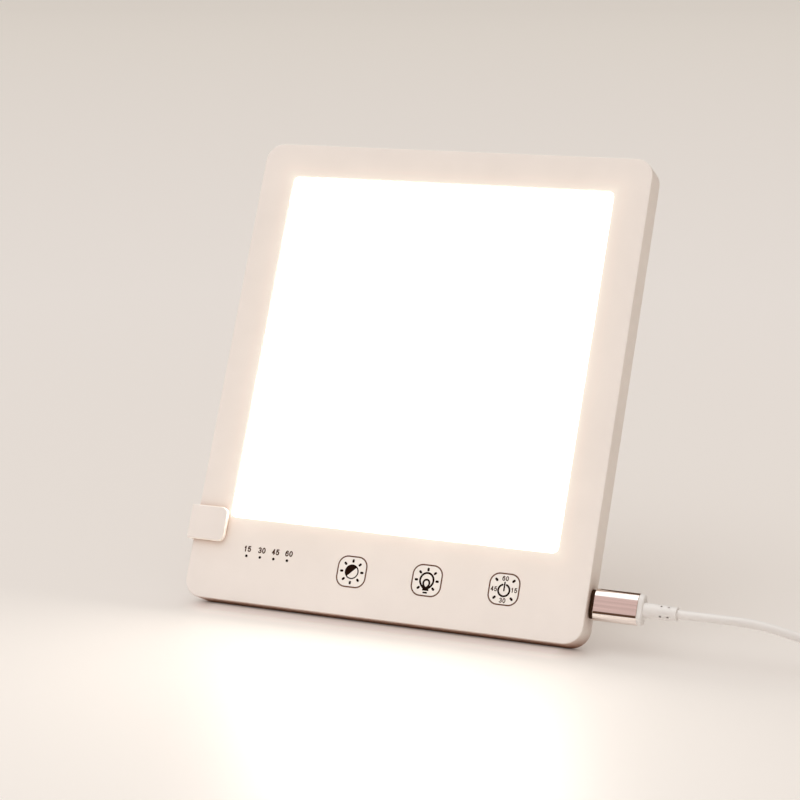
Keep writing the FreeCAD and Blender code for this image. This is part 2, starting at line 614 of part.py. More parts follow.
# ---------------------------------------------------------------- panel: housing and cover
def make_front_housing():
    body = new_body("front_housing", PANEL_PLACE)
    outline = new_sketch(body, "XZ_Plane")
    add_rounded_rectangle(outline, -HALF_WIDTH, HALF_WIDTH, ZERO, p.panel_height, p.corner_radius)
    block = pad(body, outline, p.panel_depth)
    front = round_edges(body, block, flat_at("Y", -p.panel_depth), p.front_round)
    round_edges(body, front, flat_at("Y", ZERO), p.rear_round)

    cavity = new_sketch(body, "XZ_Plane")
    add_rounded_rectangle(
        cavity, p.side_wall - HALF_WIDTH, HALF_WIDTH - p.side_wall,
        p.side_wall, p.panel_height - p.side_wall, p.corner_radius - p.side_wall,
    )
    pocket(body, cavity, FACE_BACK, along=True)

    window = new_sketch(body, "XZ_Plane", FACE_BACK)
    add_rounded_rectangle(
        window, -HALF_WINDOW, HALF_WINDOW, WINDOW_LOW, WINDOW_HIGH, p.window_corner
    )
    opening = pocket(body, window, p.face_thickness, along=True)

    def window_rim(box):
        inside = max(-box.XMin, box.XMax) < (HALF_WINDOW + p.window_side / 2).value
        return inside and flat_at("Y", -p.panel_depth)(box)

    round_edges(body, opening, window_rim, p.window_round)

    bosses = new_sketch(body, "XZ_Plane", p.cover_thickness)
    pilots = new_sketch(body, "XZ_Plane", p.cover_thickness)
    for side in (-BOSS_SIDE, BOSS_SIDE):
        for height in BOSS_HEIGHTS:
            add_circle(bosses, side, height, p.boss_radius)
            add_circle(pilots, side, height, p.screw_radius + p.screw_gap)
    pad(body, bosses, FACE_BACK - p.cover_thickness)
    thread_depth = p.screw_length - (p.cover_thickness - p.screw_head_height) + p.screw_radius
    pocket(body, pilots, thread_depth, along=True)

    posts = new_sketch(body, "XZ_Plane", BOARD_FRONT)
    post_holes = new_sketch(body, "XZ_Plane", BOARD_FRONT)
    for side in POSTS:
        add_circle(posts, side, p.post_height_up, p.post_radius)
        add_circle(post_holes, side, p.post_height_up, p.small_screw_radius + p.screw_gap)
    pad(body, posts, p.key_pad_height)
    pocket(body, post_holes, p.post_hole_depth, along=True)

    pipes = new_sketch(body, "XZ_Plane", FACE_BACK)
    for side in TIMER_LIGHTS:
        add_circle(pipes, side, p.timer_height, p.pipe_radius + p.pipe_gap)
    pocket(body, pipes, p.face_thickness, along=True)

    recess = new_sketch(body, "YZ_Plane", HALF_WIDTH)
    add_stadium(recess, -PORT_DEPTH, p.port_height, p.recess_width, p.recess_thickness)
    pocket(body, recess, p.recess_depth)
    port = new_sketch(body, "YZ_Plane", HALF_WIDTH)
    clear = p.port_gap * 2
    add_stadium(
        port, -PORT_DEPTH, p.port_height, p.socket_width + clear, p.socket_thickness + clear
    )
    pocket(body, port, p.side_wall + p.recess_depth)


def make_rear_cover():
    body = new_body("rear_cover", PANEL_PLACE)
    inset = p.side_wall + p.cover_gap
    outline = new_sketch(body, "XZ_Plane")
    add_rounded_rectangle(
        outline, inset - HALF_WIDTH, HALF_WIDTH - inset,
        inset, p.panel_height - inset, p.corner_radius - inset,
    )
    pad(body, outline, p.cover_thickness)

    rib = new_sketch(body, "XZ_Plane", p.cover_thickness)
    for step in (p.rib_inset, p.rib_inset + p.rib_thickness):
        add_rectangle(
            rib, step - STACK_SIDE, STACK_SIDE - step, STACK_LOW + step, STACK_HIGH - step
        )
    pad(body, rib, SPREADER_BACK - p.cover_thickness)

    heads = new_sketch(body, "XZ_Plane")
    holes = new_sketch(body, "XZ_Plane")
    for side in (-BOSS_SIDE, BOSS_SIDE):
        for height in BOSS_HEIGHTS:
            add_circle(heads, side, height, p.screw_head_radius + p.head_gap)
            add_circle(holes, side, height, p.screw_radius + p.head_gap)
    pocket(body, heads, p.screw_head_height, along=True)
    pocket(body, holes, p.cover_thickness, along=True)

    vent = new_sketch(body, "XZ_Plane")
    first = p.vent_pitch * (p.vent_count - 1) / 2
    add_stadium(vent, -first, p.panel_height - p.vent_top, p.vent_length, p.vent_width)
    slot = pocket(body, vent, p.cover_thickness, along=True)
    row_of_slots = body.newObject("PartDesign::LinearPattern", "LinearPattern")
    row_of_slots.Originals = [slot]
    row_of_slots.Direction = (vent, ["H_Axis"])
    row_of_slots.Mode = "Spacing"
    row_of_slots.setExpression("Offset", p.vent_pitch.text)
    row_of_slots.setExpression("Occurrences", p.vent_count.text)
    body.Tip = row_of_slots
    before = slot.Shape.Volume
    doc.recompute()
    if body.Shape.Volume >= before:
        raise RuntimeError("the vent pattern cuts nothing")


def make_screw(name, place, radius, length, head_radius, head_height, drive):
    """A pan-head screw pointing forward; place is the middle of its head's rear face."""
    x, y, z = place
    head = new_cylinder(name + "_head", place, head_radius, head_height, FORWARD)
    shank = new_cylinder(name + "_shank", place, radius, head_height + length, FORWARD)
    solid = joined(name + "_solid", [head, shank])
    width, reach, depth = drive
    slots = [
        new_box(name + "_slot_x", (x - reach / 2, y - depth, z - width / 2), reach, depth, width),
        new_box(name + "_slot_z", (x - width / 2, y - depth, z - reach / 2), width, depth, reach),
    ]
    return without(name, solid, slots)


def make_case_screws():
    screws = []
    for side in (-BOSS_SIDE, BOSS_SIDE):
        for height in BOSS_HEIGHTS:
            screws.append(make_screw(
                f"case_screw_{len(screws)}", (side, ZERO, height), p.screw_radius,
                p.screw_length - p.screw_head_height, p.screw_head_radius, p.screw_head_height,
                (p.drive_width, p.drive_length, p.drive_depth),
            ))
    finished(group("case_screw_group", screws), "case_screws", PANEL_PLACE)


# ---------------------------------------------------------------- panel: optical stack
def make_diffuser():
    body = new_body("diffuser_panel", PANEL_PLACE)
    flange = new_sketch(body, "XZ_Plane", DIFFUSER_BACK)
    add_rounded_rectangle(
        flange, -STACK_SIDE, STACK_SIDE, STACK_LOW, STACK_HIGH, p.window_corner
    )
    pad(body, flange, p.flange_thickness)
    lens = new_sketch(body, "XZ_Plane", FACE_BACK)
    side = HALF_WINDOW - p.window_gap
    add_rounded_rectangle(
        lens, -side, side, WINDOW_LOW + p.window_gap, WINDOW_HIGH - p.window_gap,
        p.window_corner - p.window_gap,
    )
    pad(body, lens, p.face_thickness - p.window_recess)


def make_sheet(label, rear, thickness):
    body = new_body(label, PANEL_PLACE)
    outline = new_sketch(body, "XZ_Plane", rear)
    add_rectangle(outline, -STACK_SIDE, STACK_SIDE, STACK_LOW, STACK_HIGH)
    pad(body, outline, thickness)


def make_spreader():
    body = new_body("heat_spreader", PANEL_PLACE)
    floor = new_sketch(body, "XZ_Plane", SPREADER_BACK)
    add_rectangle(floor, -SPREADER_SIDE, SPREADER_SIDE, STACK_LOW, STACK_HIGH)
    pad(body, floor, p.spreader_thickness)
    flanges = new_sketch(body, "XZ_Plane", REFLECTOR_BACK)
    edge = SPREADER_SIDE - p.spreader_thickness
    add_rectangle(flanges, -SPREADER_SIDE, -edge, STACK_LOW, STACK_HIGH)
    add_rectangle(flanges, edge, SPREADER_SIDE, STACK_LOW, STACK_HIGH)
    pad(body, flanges, p.spreader_flange)


def make_led_strip(side_name, sign):
    """One LED strip beside the light guide, standing on the spreader, and its row of chips."""
    strip_inner = STRIP_SIDE * sign
    left = strip_inner if sign > 0 else strip_inner - p.strip_thickness
    body = new_body(f"led_strip_{side_name}", PANEL_PLACE)
    outline = new_sketch(body, "XZ_Plane", REFLECTOR_BACK)
    add_rectangle(outline, left, left + p.strip_thickness, STRIP_LOW, STACK_HIGH)
    pad(body, outline, p.strip_width)

    chip_left = strip_inner - p.chip_height if sign > 0 else strip_inner
    chip_front = -(GUIDE_BACK + p.guide_thickness / 2 + p.chip_width / 2)
    pitch = (STACK_HIGH - STACK_LOW) / p.chip_count
    chips = []
    for index in range(int(p.chip_count.value)):
        z = STACK_LOW + pitch * (index + 0.5) - p.chip_length / 2
        chips.append(new_box(
            f"chip_{side_name}_{index}", (chip_left, chip_front, z),
            p.chip_height, p.chip_width, p.chip_length,
        ))
    finished(group(f"chips_{side_name}", chips), f"led_chips_{side_name}", PANEL_PLACE)


# ---------------------------------------------------------------- panel: control board
def make_control_board():
    body = new_body("control_board", PANEL_PLACE)
    outline = new_sketch(body, "XZ_Plane", BOARD_BACK)
    tab_low = p.port_height - p.board_tab_height / 2
    tab_high = p.port_height + p.board_tab_height / 2
    tab_end = HALF_WIDTH - p.board_tab_end
    add_polygon(outline, [
        (-BOARD_SIDE, p.board_margin), (BOARD_SIDE, p.board_margin),
        (BOARD_SIDE, tab_low), (tab_end, tab_low),
        (tab_end, tab_high), (BOARD_SIDE, tab_high),
        (BOARD_SIDE, BOARD_HIGH), (-BOARD_SIDE, BOARD_HIGH),
    ])
    pad(body, outline, p.board_thickness)
    holes = new_sketch(body, "XZ_Plane", BOARD_BACK)
    for side in POSTS:
        add_circle(holes, side, p.post_height_up, p.small_screw_radius + p.head_gap)
    pocket(body, holes, p.board_thickness, along=True)


def make_board_screws():
    screws = []
    for side in POSTS:
        place = (side, p.small_head_height - BOARD_BACK, p.post_height_up)
        screws.append(make_screw(
            f"board_screw_{len(screws)}", place, p.small_screw_radius, p.small_screw_length,
            p.small_head_radius, p.small_head_height,
            (p.drive_width, p.small_drive_length, p.drive_depth),
        ))
    finished(group("board_screw_group", screws), "board_screws", PANEL_PLACE)


def make_key_pads():
    """Conductive foam pads that press against the back of the face, one behind each key."""
    for name, side in zip(("dimmer", "colour", "power"), KEYS):
        body = new_body(f"touch_pad_{name}", PANEL_PLACE)
        outline = new_sketch(body, "XZ_Plane", BOARD_FRONT)
        add_circle(outline, side, p.key_height, p.key_pad_radius)
        pad(body, outline, p.key_pad_height)


def make_timer_lights():
    body = new_body("timer_light_pipes", PANEL_PLACE)
    bar = new_sketch(body, "XZ_Plane", FACE_BACK - p.pipe_bar_thickness)
    add_rectangle(
        bar, TIMER_LIGHTS[0] - p.pipe_bar_height / 2, TIMER_LIGHTS[-1] + p.pipe_bar_height / 2,
        p.timer_height - p.pipe_bar_height / 2, p.timer_height + p.pipe_bar_height / 2,
    )
    pad(body, bar, p.pipe_bar_thickness)
    pins = new_sketch(body, "XZ_Plane", FACE_BACK - p.pipe_bar_thickness)
    for side in TIMER_LIGHTS:
        add_circle(pins, side, p.timer_height, p.pipe_radius)
    pad(body, pins, p.face_thickness + p.pipe_bar_thickness)

    leds = []
    for index, side in enumerate(TIMER_LIGHTS):
        place = (
            side - p.led_size / 2, -(BOARD_FRONT + p.led_rise), p.timer_height - p.led_size / 2
        )
        leds.append(new_box(f"timer_led_{index}", place, p.led_size, p.led_rise, p.led_size))
    finished(group("timer_led_group", leds), "timer_leds", PANEL_PLACE)


def make_board_block(label, x, z, width, height, rise):
    """A component that stands on the board's rear side, with its middle at x and z."""
    body = new_body(label, PANEL_PLACE)
    outline = new_sketch(body, "XZ_Plane", BOARD_BACK)
    add_rectangle(outline, x - width / 2, x + width / 2, z - height / 2, z + height / 2)
    pad(body, outline, rise, against=True)


def make_board_parts():
    make_board_block(
        "controller_chip", BOARD_SIDE - p.controller_place, p.part_row,
        p.controller_side, p.controller_side, p.controller_rise,
    )
    make_board_block(
        "power_inductor", BOARD_SIDE - p.inductor_place, p.part_row,
        p.inductor_side, p.inductor_side, p.inductor_rise,
    )
    make_board_block(
        "driver_chip", BOARD_SIDE - p.driver_place, p.part_row,
        p.driver_width, p.driver_height, p.driver_rise,
    )
    middle = CONNECTOR_HIGH - p.connector_height / 2
    for name, side in (("left", -CONNECTOR_SIDE), ("right", CONNECTOR_SIDE)):
        make_board_block(
            f"lead_connector_{name}", side, middle,
            p.connector_width, p.connector_height, p.connector_rise,
        )
    body = new_body("capacitors", PANEL_PLACE)
    outline = new_sketch(body, "XZ_Plane", BOARD_BACK)
    right = BOARD_SIDE - p.capacitor_place
    for side in (right - p.capacitor_pitch, right):
        add_circle(outline, side, p.capacitor_row, p.capacitor_radius)
    body.AllowCompound = True
    pad(body, outline, BOARD_BACK - p.cover_thickness - p.capacitor_gap, against=True)


def make_socket():
    shell = new_body("usb_socket_shell", PANEL_PLACE)
    ring = new_sketch(shell, "YZ_Plane", SOCKET_BACK)
    add_stadium(ring, -PORT_DEPTH, p.port_height, p.socket_width, p.socket_thickness)
    inner = p.socket_wall * 2
    add_stadium(
        ring, -PORT_DEPTH, p.port_height, p.socket_width - inner, p.socket_thickness - inner
    )
    pad(shell, ring, p.socket_length)

    core = new_body("usb_socket_tongue", PANEL_PLACE)
    base = new_sketch(core, "YZ_Plane", SOCKET_BACK)
    add_stadium(
        base, -PORT_DEPTH, p.port_height, p.socket_width - inner, p.socket_thickness - inner
    )
    pad(core, base, p.socket_base)
    tongue = new_sketch(core, "YZ_Plane", SOCKET_BACK + p.socket_base)
    half_thickness, half_width = p.tongue_thickness / 2, p.tongue_width / 2
    add_rectangle(
        tongue, -PORT_DEPTH - half_thickness, -PORT_DEPTH + half_thickness,
        p.port_height - half_width, p.port_height + half_width,
    )
    pad(core, tongue, p.tongue_length)


# ---------------------------------------------------------------- tubes along a route
def route_wire(points, bend_share=0.45):
    """Straight runs joined by tangent arcs, and the radii of those arcs."""
    points = [Vector(*point) for point in points]
    edges, radii, at = [], [], points[0]
    for before, corner, after in zip(points, points[1:], points[2:]):
        back, ahead = (before - corner), (after - corner)
        turn = math.pi - back.getAngle(ahead)
        cut = bend_share * min(back.Length, ahead.Length)
        radius = cut / math.tan(turn / 2)
        radii.append(radius)
        back.normalize()
        ahead.normalize()
        start, end = corner + back * cut, corner + ahead * cut
        inward = (back + ahead).normalize()
        middle = corner + inward * (radius / math.cos(turn / 2) - radius)
        edges.append(Part.LineSegment(at, start).toShape())
        edges.append(Part.Arc(start, middle, end).toShape())
        at = end
    edges.append(Part.LineSegment(at, points[-1]).toShape())
    return Part.Wire(edges), radii


def tube_shape(points, radius):
    """A round tube along a route, checked against its section times its length."""
    wire, radii = route_wire(points)
    start, onward = Vector(*points[0]), Vector(*points[1]) - Vector(*points[0])
    section = Part.Wire(Part.Circle(start, onward, radius).toShape())
    solid = wire.makePipeShell([section], True, True)
    wanted = math.pi * radius * radius * wire.Length
    if abs(solid.Volume - wanted) > 0.02 * wanted:
        raise RuntimeError("a tube has lost its section along the route")
    return solid, wire.Length, radii


def make_tube(label, points, radius):
    solid, length, radii = tube_shape(points, radius)
    feature = doc.addObject("Part::Feature", label)
    feature.Shape = solid
    print(label, "length", round(length, 1), "radii", [round(r, 1) for r in radii])
    finished(feature, label)
    return length


def make_led_leads():
    """Two short leads from the board's connectors up to the lower ends of the LED strips."""
    leads = []
    depth = (p.lead_depth - BOARD_BACK).value
    top = CONNECTOR_HIGH.value
    strip_end = (STACK_LOW - p.strip_tail / 2).value
    for sign in (-1, 1):
        side = CONNECTOR_SIDE.value * sign
        landing = (STRIP_SIDE + p.strip_thickness / 2).value * sign
        route = [
            (side, depth, top),
            (side, depth, top + p.lead_start.value),
            (landing - p.lead_inset.value * sign, depth, strip_end - p.lead_approach.value),
            (landing, (p.lead_seat - REFLECTOR_BACK).value, strip_end - p.lead_end.value),
        ]
        leads.append(tube_shape(route, p.lead_radius.value)[0])
    feature = doc.addObject("Part::Feature", "led_leads")
    feature.Shape = Part.makeCompound(leads)
    finished(feature, "led_leads", PANEL_PLACE)


# ---------------------------------------------------------------- plug and cord
def make_plug():
    shell = new_body("plug_shell", PANEL_PLACE)
    ring = new_sketch(shell, "YZ_Plane", PLUG_TIP)
    inner = p.plug_wall * 2
    add_stadium(ring, -PORT_DEPTH, p.port_height, p.plug_width, p.plug_thickness)
    add_stadium(ring, -PORT_DEPTH, p.port_height, p.plug_width - inner, p.plug_thickness - inner)
    pad(shell, ring, p.plug_insert + p.shell_seat)

    insert = new_body("plug_insulator", PANEL_PLACE)
    block = new_sketch(insert, "YZ_Plane", PLUG_TIP + p.plug_tip)
    add_stadium(block, -PORT_DEPTH, p.port_height, p.plug_width - inner, p.plug_thickness - inner)
    pad(insert, block, p.plug_insert + p.shell_seat - p.plug_tip)
    slot = new_sketch(insert, "YZ_Plane", PLUG_TIP + p.plug_tip)
    half_thickness = p.tongue_thickness / 2 + p.slot_gap
    half_width = p.tongue_width / 2 + p.slot_gap
    add_rectangle(
        slot, -PORT_DEPTH - half_thickness, -PORT_DEPTH + half_thickness,
        p.port_height - half_width, p.port_height + half_width,
    )
    pocket(insert, slot, TONGUE_TIP - PLUG_TIP - p.plug_tip + p.slot_end_gap, along=True)

    bore = p.sleeve_wall * 2
    core = new_body("plug_core", PANEL_PLACE)
    block = new_sketch(core, "YZ_Plane", COLLAR_FACE)
    add_stadium(
        block, -PORT_DEPTH, p.port_height, p.sleeve_width - bore, p.sleeve_thickness - bore
    )
    pad(core, block, SLEEVE_END - COLLAR_FACE)
    seat = new_sketch(core, "YZ_Plane", COLLAR_FACE)
    add_stadium(seat, -PORT_DEPTH, p.port_height, p.plug_width, p.plug_thickness)
    pocket(core, seat, p.shell_seat, along=True)

    sleeve = new_body("plug_sleeve", PANEL_PLACE)
    ring = new_sketch(sleeve, "YZ_Plane", SLEEVE_START)
    add_stadium(ring, -PORT_DEPTH, p.port_height, p.sleeve_width, p.sleeve_thickness)
    add_stadium(
        ring, -PORT_DEPTH, p.port_height, p.sleeve_width - bore, p.sleeve_thickness - bore
    )
    tube = pad(sleeve, ring, p.sleeve_length)
    mid_wall_width = ((p.sleeve_width - p.sleeve_wall) / 2).value
    mid_wall_thickness = ((p.sleeve_thickness - p.sleeve_wall) / 2).value

    def outer_rims(box):
        at_end = flat_at("X", SLEEVE_START)(box) or flat_at("X", SLEEVE_END)(box)
        out_y = max(abs(box.YMin + PORT_DEPTH.value), abs(box.YMax + PORT_DEPTH.value))
        out_z = max(abs(box.ZMin - p.port_height.value), abs(box.ZMax - p.port_height.value))
        return at_end and (out_z > mid_wall_width or out_y > mid_wall_thickness)

    round_edges(sleeve, tube, outer_rims, p.sleeve_round)

    cap = new_body("plug_end_cap", PANEL_PLACE)
    outline = new_sketch(cap, "YZ_Plane", SLEEVE_END)
    step = p.cap_step * 2
    add_stadium(
        outline, -PORT_DEPTH, p.port_height, p.sleeve_width - step, p.sleeve_thickness - step
    )
    block = pad(cap, outline, p.cap_length)
    round_edges(cap, block, flat_at("X", CAP_END), p.cap_round)


def make_relief(label, place, start, length):
    """A strain relief along X from start: a tapered sleeve with rows of four dimples, so that it
    bends more easily towards its tip. place is the frame of start."""
    x, y, z = start
    taper = doc.addObject("Part::Cone", label + "_taper")
    taper.setExpression("Radius1", p.relief_root.text)
    taper.setExpression("Radius2", p.relief_tip.text)
    taper.setExpression("Height", length.text)
    taper.Placement = Placement(Vector(), Rotation(Vector(0, 0, 1), ALONG_X))
    for axis, size in zip("xyz", start):
        taper.setExpression(f"Placement.Base.{axis}", size.text)
    off_axis = (p.relief_tip - p.dimple_depth) * cosine(as_size(45))
    dimples = []
    for row in range(int(p.dimple_rows.value)):
        along = x + length - p.dimple_last - p.dimple_pitch * row
        for back, up in ((1, 1), (1, -1), (-1, 1), (-1, -1)):
            dimples.append(new_cylinder(
                f"{label}_dimple_{len(dimples)}", (along, y + off_axis * back, z + off_axis * up),
                p.dimple_radius, p.relief_root, Vector(0, back, up),
            ))
    finished(without(label + "_whole", taper, dimples), label, place)


def make_coil():
    """The put-away length: one ring of the coil's outer shape, notched below for its tie."""
    ring = doc.addObject("PartDesign::Body", "coil_ring")
    section = new_sketch(ring, "XZ_Plane")
    add_rounded_rectangle(section, COIL_INNER, COIL_OUTER, ZERO, COIL_TOP, p.coil_edge)
    turned = ring.newObject("PartDesign::Revolution", "Revolution")
    turned.Profile = section
    turned.ReferenceAxis = (section, ["V_Axis"])
    turned.Angle = 360
    half = p.tie_width / 2 + p.tie_gap
    notch = new_box(
        "coil_notch", (ZERO, -half, ZERO),
        COIL_OUTER + p.tie_gap, half * 2, p.tie_thickness + p.tie_gap,
    )
    finished(without("coil_cut", ring, [notch]), "cord_coil", Placement(COIL_CENTRE, Rotation()))


def make_coil_tie():
    """A strap round one side of the coil. The coil's inner wall curves away from it, so its
    inner strand stands in by the height of that curve."""
    wall = p.tie_thickness
    curve = p.tie_width * p.tie_width / (COIL_INNER * 8)
    left = COIL_INNER - curve - (p.tie_gap + wall) * 2
    right = COIL_OUTER + p.tie_gap + wall
    high = COIL_TOP + p.tie_gap + wall
    outer = new_box(
        "tie_outer", (left, -p.tie_width / 2, ZERO), right - left, p.tie_width, high
    )
    inner = new_box(
        "tie_inner", (left + wall, -p.tie_width, wall),
        right - left - wall * 2, p.tie_width * 2, high - wall * 2,
    )
    finished(without("tie_cut", outer, [inner]), "cord_tie", Placement(COIL_CENTRE, Rotation()))


def make_far_plug():
    """The flat four-pin plug at the cord's far end, lying on the table and pointing to -X."""
    place = Placement(FAR_POINT, Rotation(Vector(0, 0, 1), 180))
    grip_back = Placement(FAR_POINT - Vector(p.far_relief_length.value, 0, 0), Rotation())
    make_relief("far_strain_relief", grip_back, (ZERO, ZERO, ZERO), p.far_relief_length)

    grip_start, grip_end = p.far_relief_length, p.far_relief_length + p.far_length
    half_width, half_thickness = p.far_width / 2, p.far_thickness / 2
    grip = new_body("far_plug_grip", place)
    outline = new_sketch(grip, "YZ_Plane", grip_start)
    add_rounded_rectangle(
        outline, -half_width, half_width, -half_thickness, half_thickness, p.far_corner
    )
    block = pad(grip, outline, p.far_length)
    softened = round_edges(grip, block, flat_at("X", grip_start), p.cap_round)
    round_edges(grip, softened, flat_at("X", grip_end), p.cap_round)
    shell_half_width, shell_half_thickness = p.far_shell_width / 2, p.far_shell_thickness / 2
    seat = new_sketch(grip, "YZ_Plane", grip_end)
    add_rectangle(
        seat, -shell_half_width, shell_half_width, -shell_half_thickness, shell_half_thickness
    )
    pocket(grip, seat, p.far_shell_seat)

    shell = new_body("far_plug_shell", place)
    ring = new_sketch(shell, "YZ_Plane", grip_end - p.far_shell_seat)
    inner_half_width = shell_half_width - p.far_shell_wall
    inner_half_thickness = shell_half_thickness - p.far_shell_wall
    add_rectangle(
        ring, -shell_half_width, shell_half_width, -shell_half_thickness, shell_half_thickness
    )
    add_rectangle(
        ring, -inner_half_width, inner_half_width, -inner_half_thickness, inner_half_thickness
    )
    pad(shell, ring, p.far_shell_length + p.far_shell_seat)
    windows = new_sketch(shell, "XY_Plane")
    middle = grip_end + p.far_shell_length - p.far_window_tip
    half_length = p.far_window_length / 2
    for side in (-p.far_window_side, p.far_window_side):
        add_rectangle(
            windows, middle - half_length, middle + half_length,
            side - p.far_window_width / 2, side + p.far_window_width / 2,
        )
    pocket(shell, windows, p.far_shell_thickness, both_ways=True)

    tongue = new_body("far_plug_tongue", place)
    section = new_sketch(tongue, "YZ_Plane", grip_end - p.far_shell_seat)
    add_rectangle(
        section, -inner_half_width, inner_half_width,
        inner_half_thickness - p.far_tongue_thickness, inner_half_thickness,
    )
    pad(tongue, section, p.far_shell_length + p.far_shell_seat - p.far_shell_wall)


# ---------------------------------------------------------------- stand
def make_stand_bracket():
    body = new_body("stand_bracket", PANEL_PLACE)
    clip_left = -HALF_WIDTH - CLIP_SIDE
    wall_in = -HALF_WIDTH - p.slide_gap
    tab_right = p.tab_reach - HALF_WIDTH
    tab_back = -p.panel_depth - p.slide_gap
    tab_front = tab_back - p.tab_thickness
    profile = new_sketch(body, "XY_Plane", p.tab_low)
    add_polygon(profile, [
        (ZERO, PLATE_FRONT), (ZERO, PLATE_BACK), (clip_left, PLATE_BACK), (clip_left, tab_front),
        (tab_right, tab_front), (tab_right, tab_back), (wall_in, tab_back), (wall_in, PLATE_FRONT),
    ])
    clip = pad(body, profile, p.tab_height)

    def tab_corners(box):
        through = box.YLength > p.tab_thickness.value / 2 and box.ZLength < TOUCHING
        return through and flat_at("X", tab_right)(box)

    round_edges(body, clip, tab_corners, p.tab_corner)

    plate = new_sketch(body, "XZ_Plane", -PLATE_BACK)
    add_rounded_rectangle(
        plate, -PLATE_HALF, PLATE_HALF, p.plate_low, PLATE_HIGH, p.plate_corner
    )
    spread = pad(body, plate, p.plate_thickness)

    def outer_rims(box):
        return any(
            flat_at(axis, place)(box)
            for axis, place in (("Y", tab_front), ("X", clip_left), ("Y", PLATE_BACK))
        )

    round_edges(body, spread, outer_rims, p.tab_round)

    lugs = new_sketch(body, "YZ_Plane")
    add_rectangle(
        lugs, PLATE_BACK - p.plate_thickness / 2, HINGE_BACK,
        p.hinge_height - p.lug_radius, p.hinge_height + p.lug_radius,
    )
    across = p.leg_width + (p.lug_gap + p.lug_width) * 2
    pad(body, lugs, across, both_ways=True)
    round_ends = new_sketch(body, "YZ_Plane")
    add_circle(round_ends, HINGE_BACK, p.hinge_height, p.lug_radius)
    pad(body, round_ends, across, both_ways=True)
    between = new_sketch(body, "YZ_Plane")
    add_rectangle(
        between, PLATE_BACK, HINGE_BACK + p.lug_radius * 2,
        p.hinge_height - p.lug_radius * 2, p.hinge_height + p.lug_radius * 2,
    )
    pocket(body, between, p.leg_width + p.lug_gap * 2, both_ways=True)
    hole = new_sketch(body, "YZ_Plane")
    add_circle(hole, HINGE_BACK, p.hinge_height, p.pin_radius + p.pin_fit)
    pocket(body, hole, across, both_ways=True)


def make_rest_pads():
    """Two soft pads on the plate's front, on which the panel's back rests."""
    pads = []
    lower = p.plate_low + p.rest_pad_margin
    upper = PLATE_HIGH - p.rest_pad_margin - p.rest_pad_height
    half_width = PLATE_HALF - p.rest_pad_side
    for name, low in (("lower", lower), ("upper", upper)):
        place = (-half_width, p.slide_gap, low)
        size = (half_width * 2, p.rest_pad_thickness, p.rest_pad_height)
        pads.append(new_box(f"rest_pad_{name}", place, *size))
    finished(group("rest_pad_group", pads), "rest_pads", PANEL_PLACE)


def make_hinge_pin():
    body = new_body("hinge_pin", PANEL_PLACE)
    section = new_sketch(body, "YZ_Plane")
    add_circle(section, HINGE_BACK, p.hinge_height, p.pin_radius)
    pad(body, section, p.leg_width + (p.lug_gap + p.lug_width) * 2, both_ways=True)


def leg_point_from_panel(back, up):
    """A point given from the hinge axis in the panel's directions, in the open leg's own."""
    return (
        back * cosine(FOLD) + up * sine(FOLD),
        up * cosine(FOLD) - back * sine(FOLD),
    )


def leg_point_from_table(back, up):
    """A point given from the foot's middle on the table, in the open leg's own directions."""
    return (
        back * cosine(p.leg_splay) + up * sine(p.leg_splay),
        up * cosine(p.leg_splay) - back * sine(p.leg_splay) - LEG_LENGTH,
    )


def make_leg():
    """The swing leg, drawn from its hinge axis with its length down -Z."""
    body = new_body("stand_leg", LEG_PLACE)
    half = p.leg_thickness / 2
    blade = new_sketch(body, "YZ_Plane")
    add_rectangle(blade, -half, half, p.foot_overlap - LEG_LENGTH, ZERO)
    bar = pad(body, blade, p.leg_width, both_ways=True)

    def long_edges(box):
        return box.XLength < TOUCHING and box.YLength < TOUCHING

    round_edges(body, bar, long_edges, p.leg_round)
    recess = new_sketch(body, "XZ_Plane", -half)
    recess_side = p.leg_width / 2 - p.recess_border
    add_rounded_rectangle(
        recess, -recess_side, recess_side, p.recess_foot - LEG_LENGTH, -p.recess_top,
        p.recess_corner,
    )
    pocket(body, recess, p.recess_sink, along=True)

    barrel = new_sketch(body, "YZ_Plane")
    add_circle(barrel, ZERO, ZERO, p.barrel_radius)
    pad(body, barrel, p.leg_width, both_ways=True)
    heel = new_sketch(body, "YZ_Plane")
    near = p.heel_gap - p.hinge_standoff
    far = near + p.heel_thickness
    add_polygon(heel, [
        leg_point_from_panel(near, ZERO), leg_point_from_panel(far, ZERO),
        leg_point_from_panel(far, p.heel_height), leg_point_from_panel(near, p.heel_height),
    ])
    pad(body, heel, p.leg_width, both_ways=True)
    foot = new_sketch(body, "YZ_Plane")
    half_depth = p.foot_depth / 2
    top = p.pad_thickness + p.foot_height
    add_polygon(foot, [
        leg_point_from_table(-half_depth, p.pad_thickness),
        leg_point_from_table(half_depth, p.pad_thickness),
        leg_point_from_table(half_depth, top),
        leg_point_from_table(-half_depth, top),
    ])
    block = pad(body, foot, FOOT_HALF * 2, both_ways=True)

    def foot_ends(box):
        return flat_at("X", FOOT_HALF)(box) or flat_at("X", -FOOT_HALF)(box)

    round_edges(body, block, foot_ends, p.foot_round)
    bore = new_sketch(body, "YZ_Plane")
    add_circle(bore, ZERO, ZERO, p.pin_radius + p.pin_running_gap)
    pocket(body, bore, p.leg_width, both_ways=True)


def make_foot_pad():
    body = new_body("foot_pad", FOOT_PLACE)
    outline = new_sketch(body, "XY_Plane")
    half_width = FOOT_HALF - p.pad_side_inset
    half_depth = p.foot_depth / 2 - p.pad_edge_inset
    add_rounded_rectangle(
        outline, -half_width, half_width, -half_depth, half_depth, p.pad_corner
    )
    pad(body, outline, p.pad_thickness)


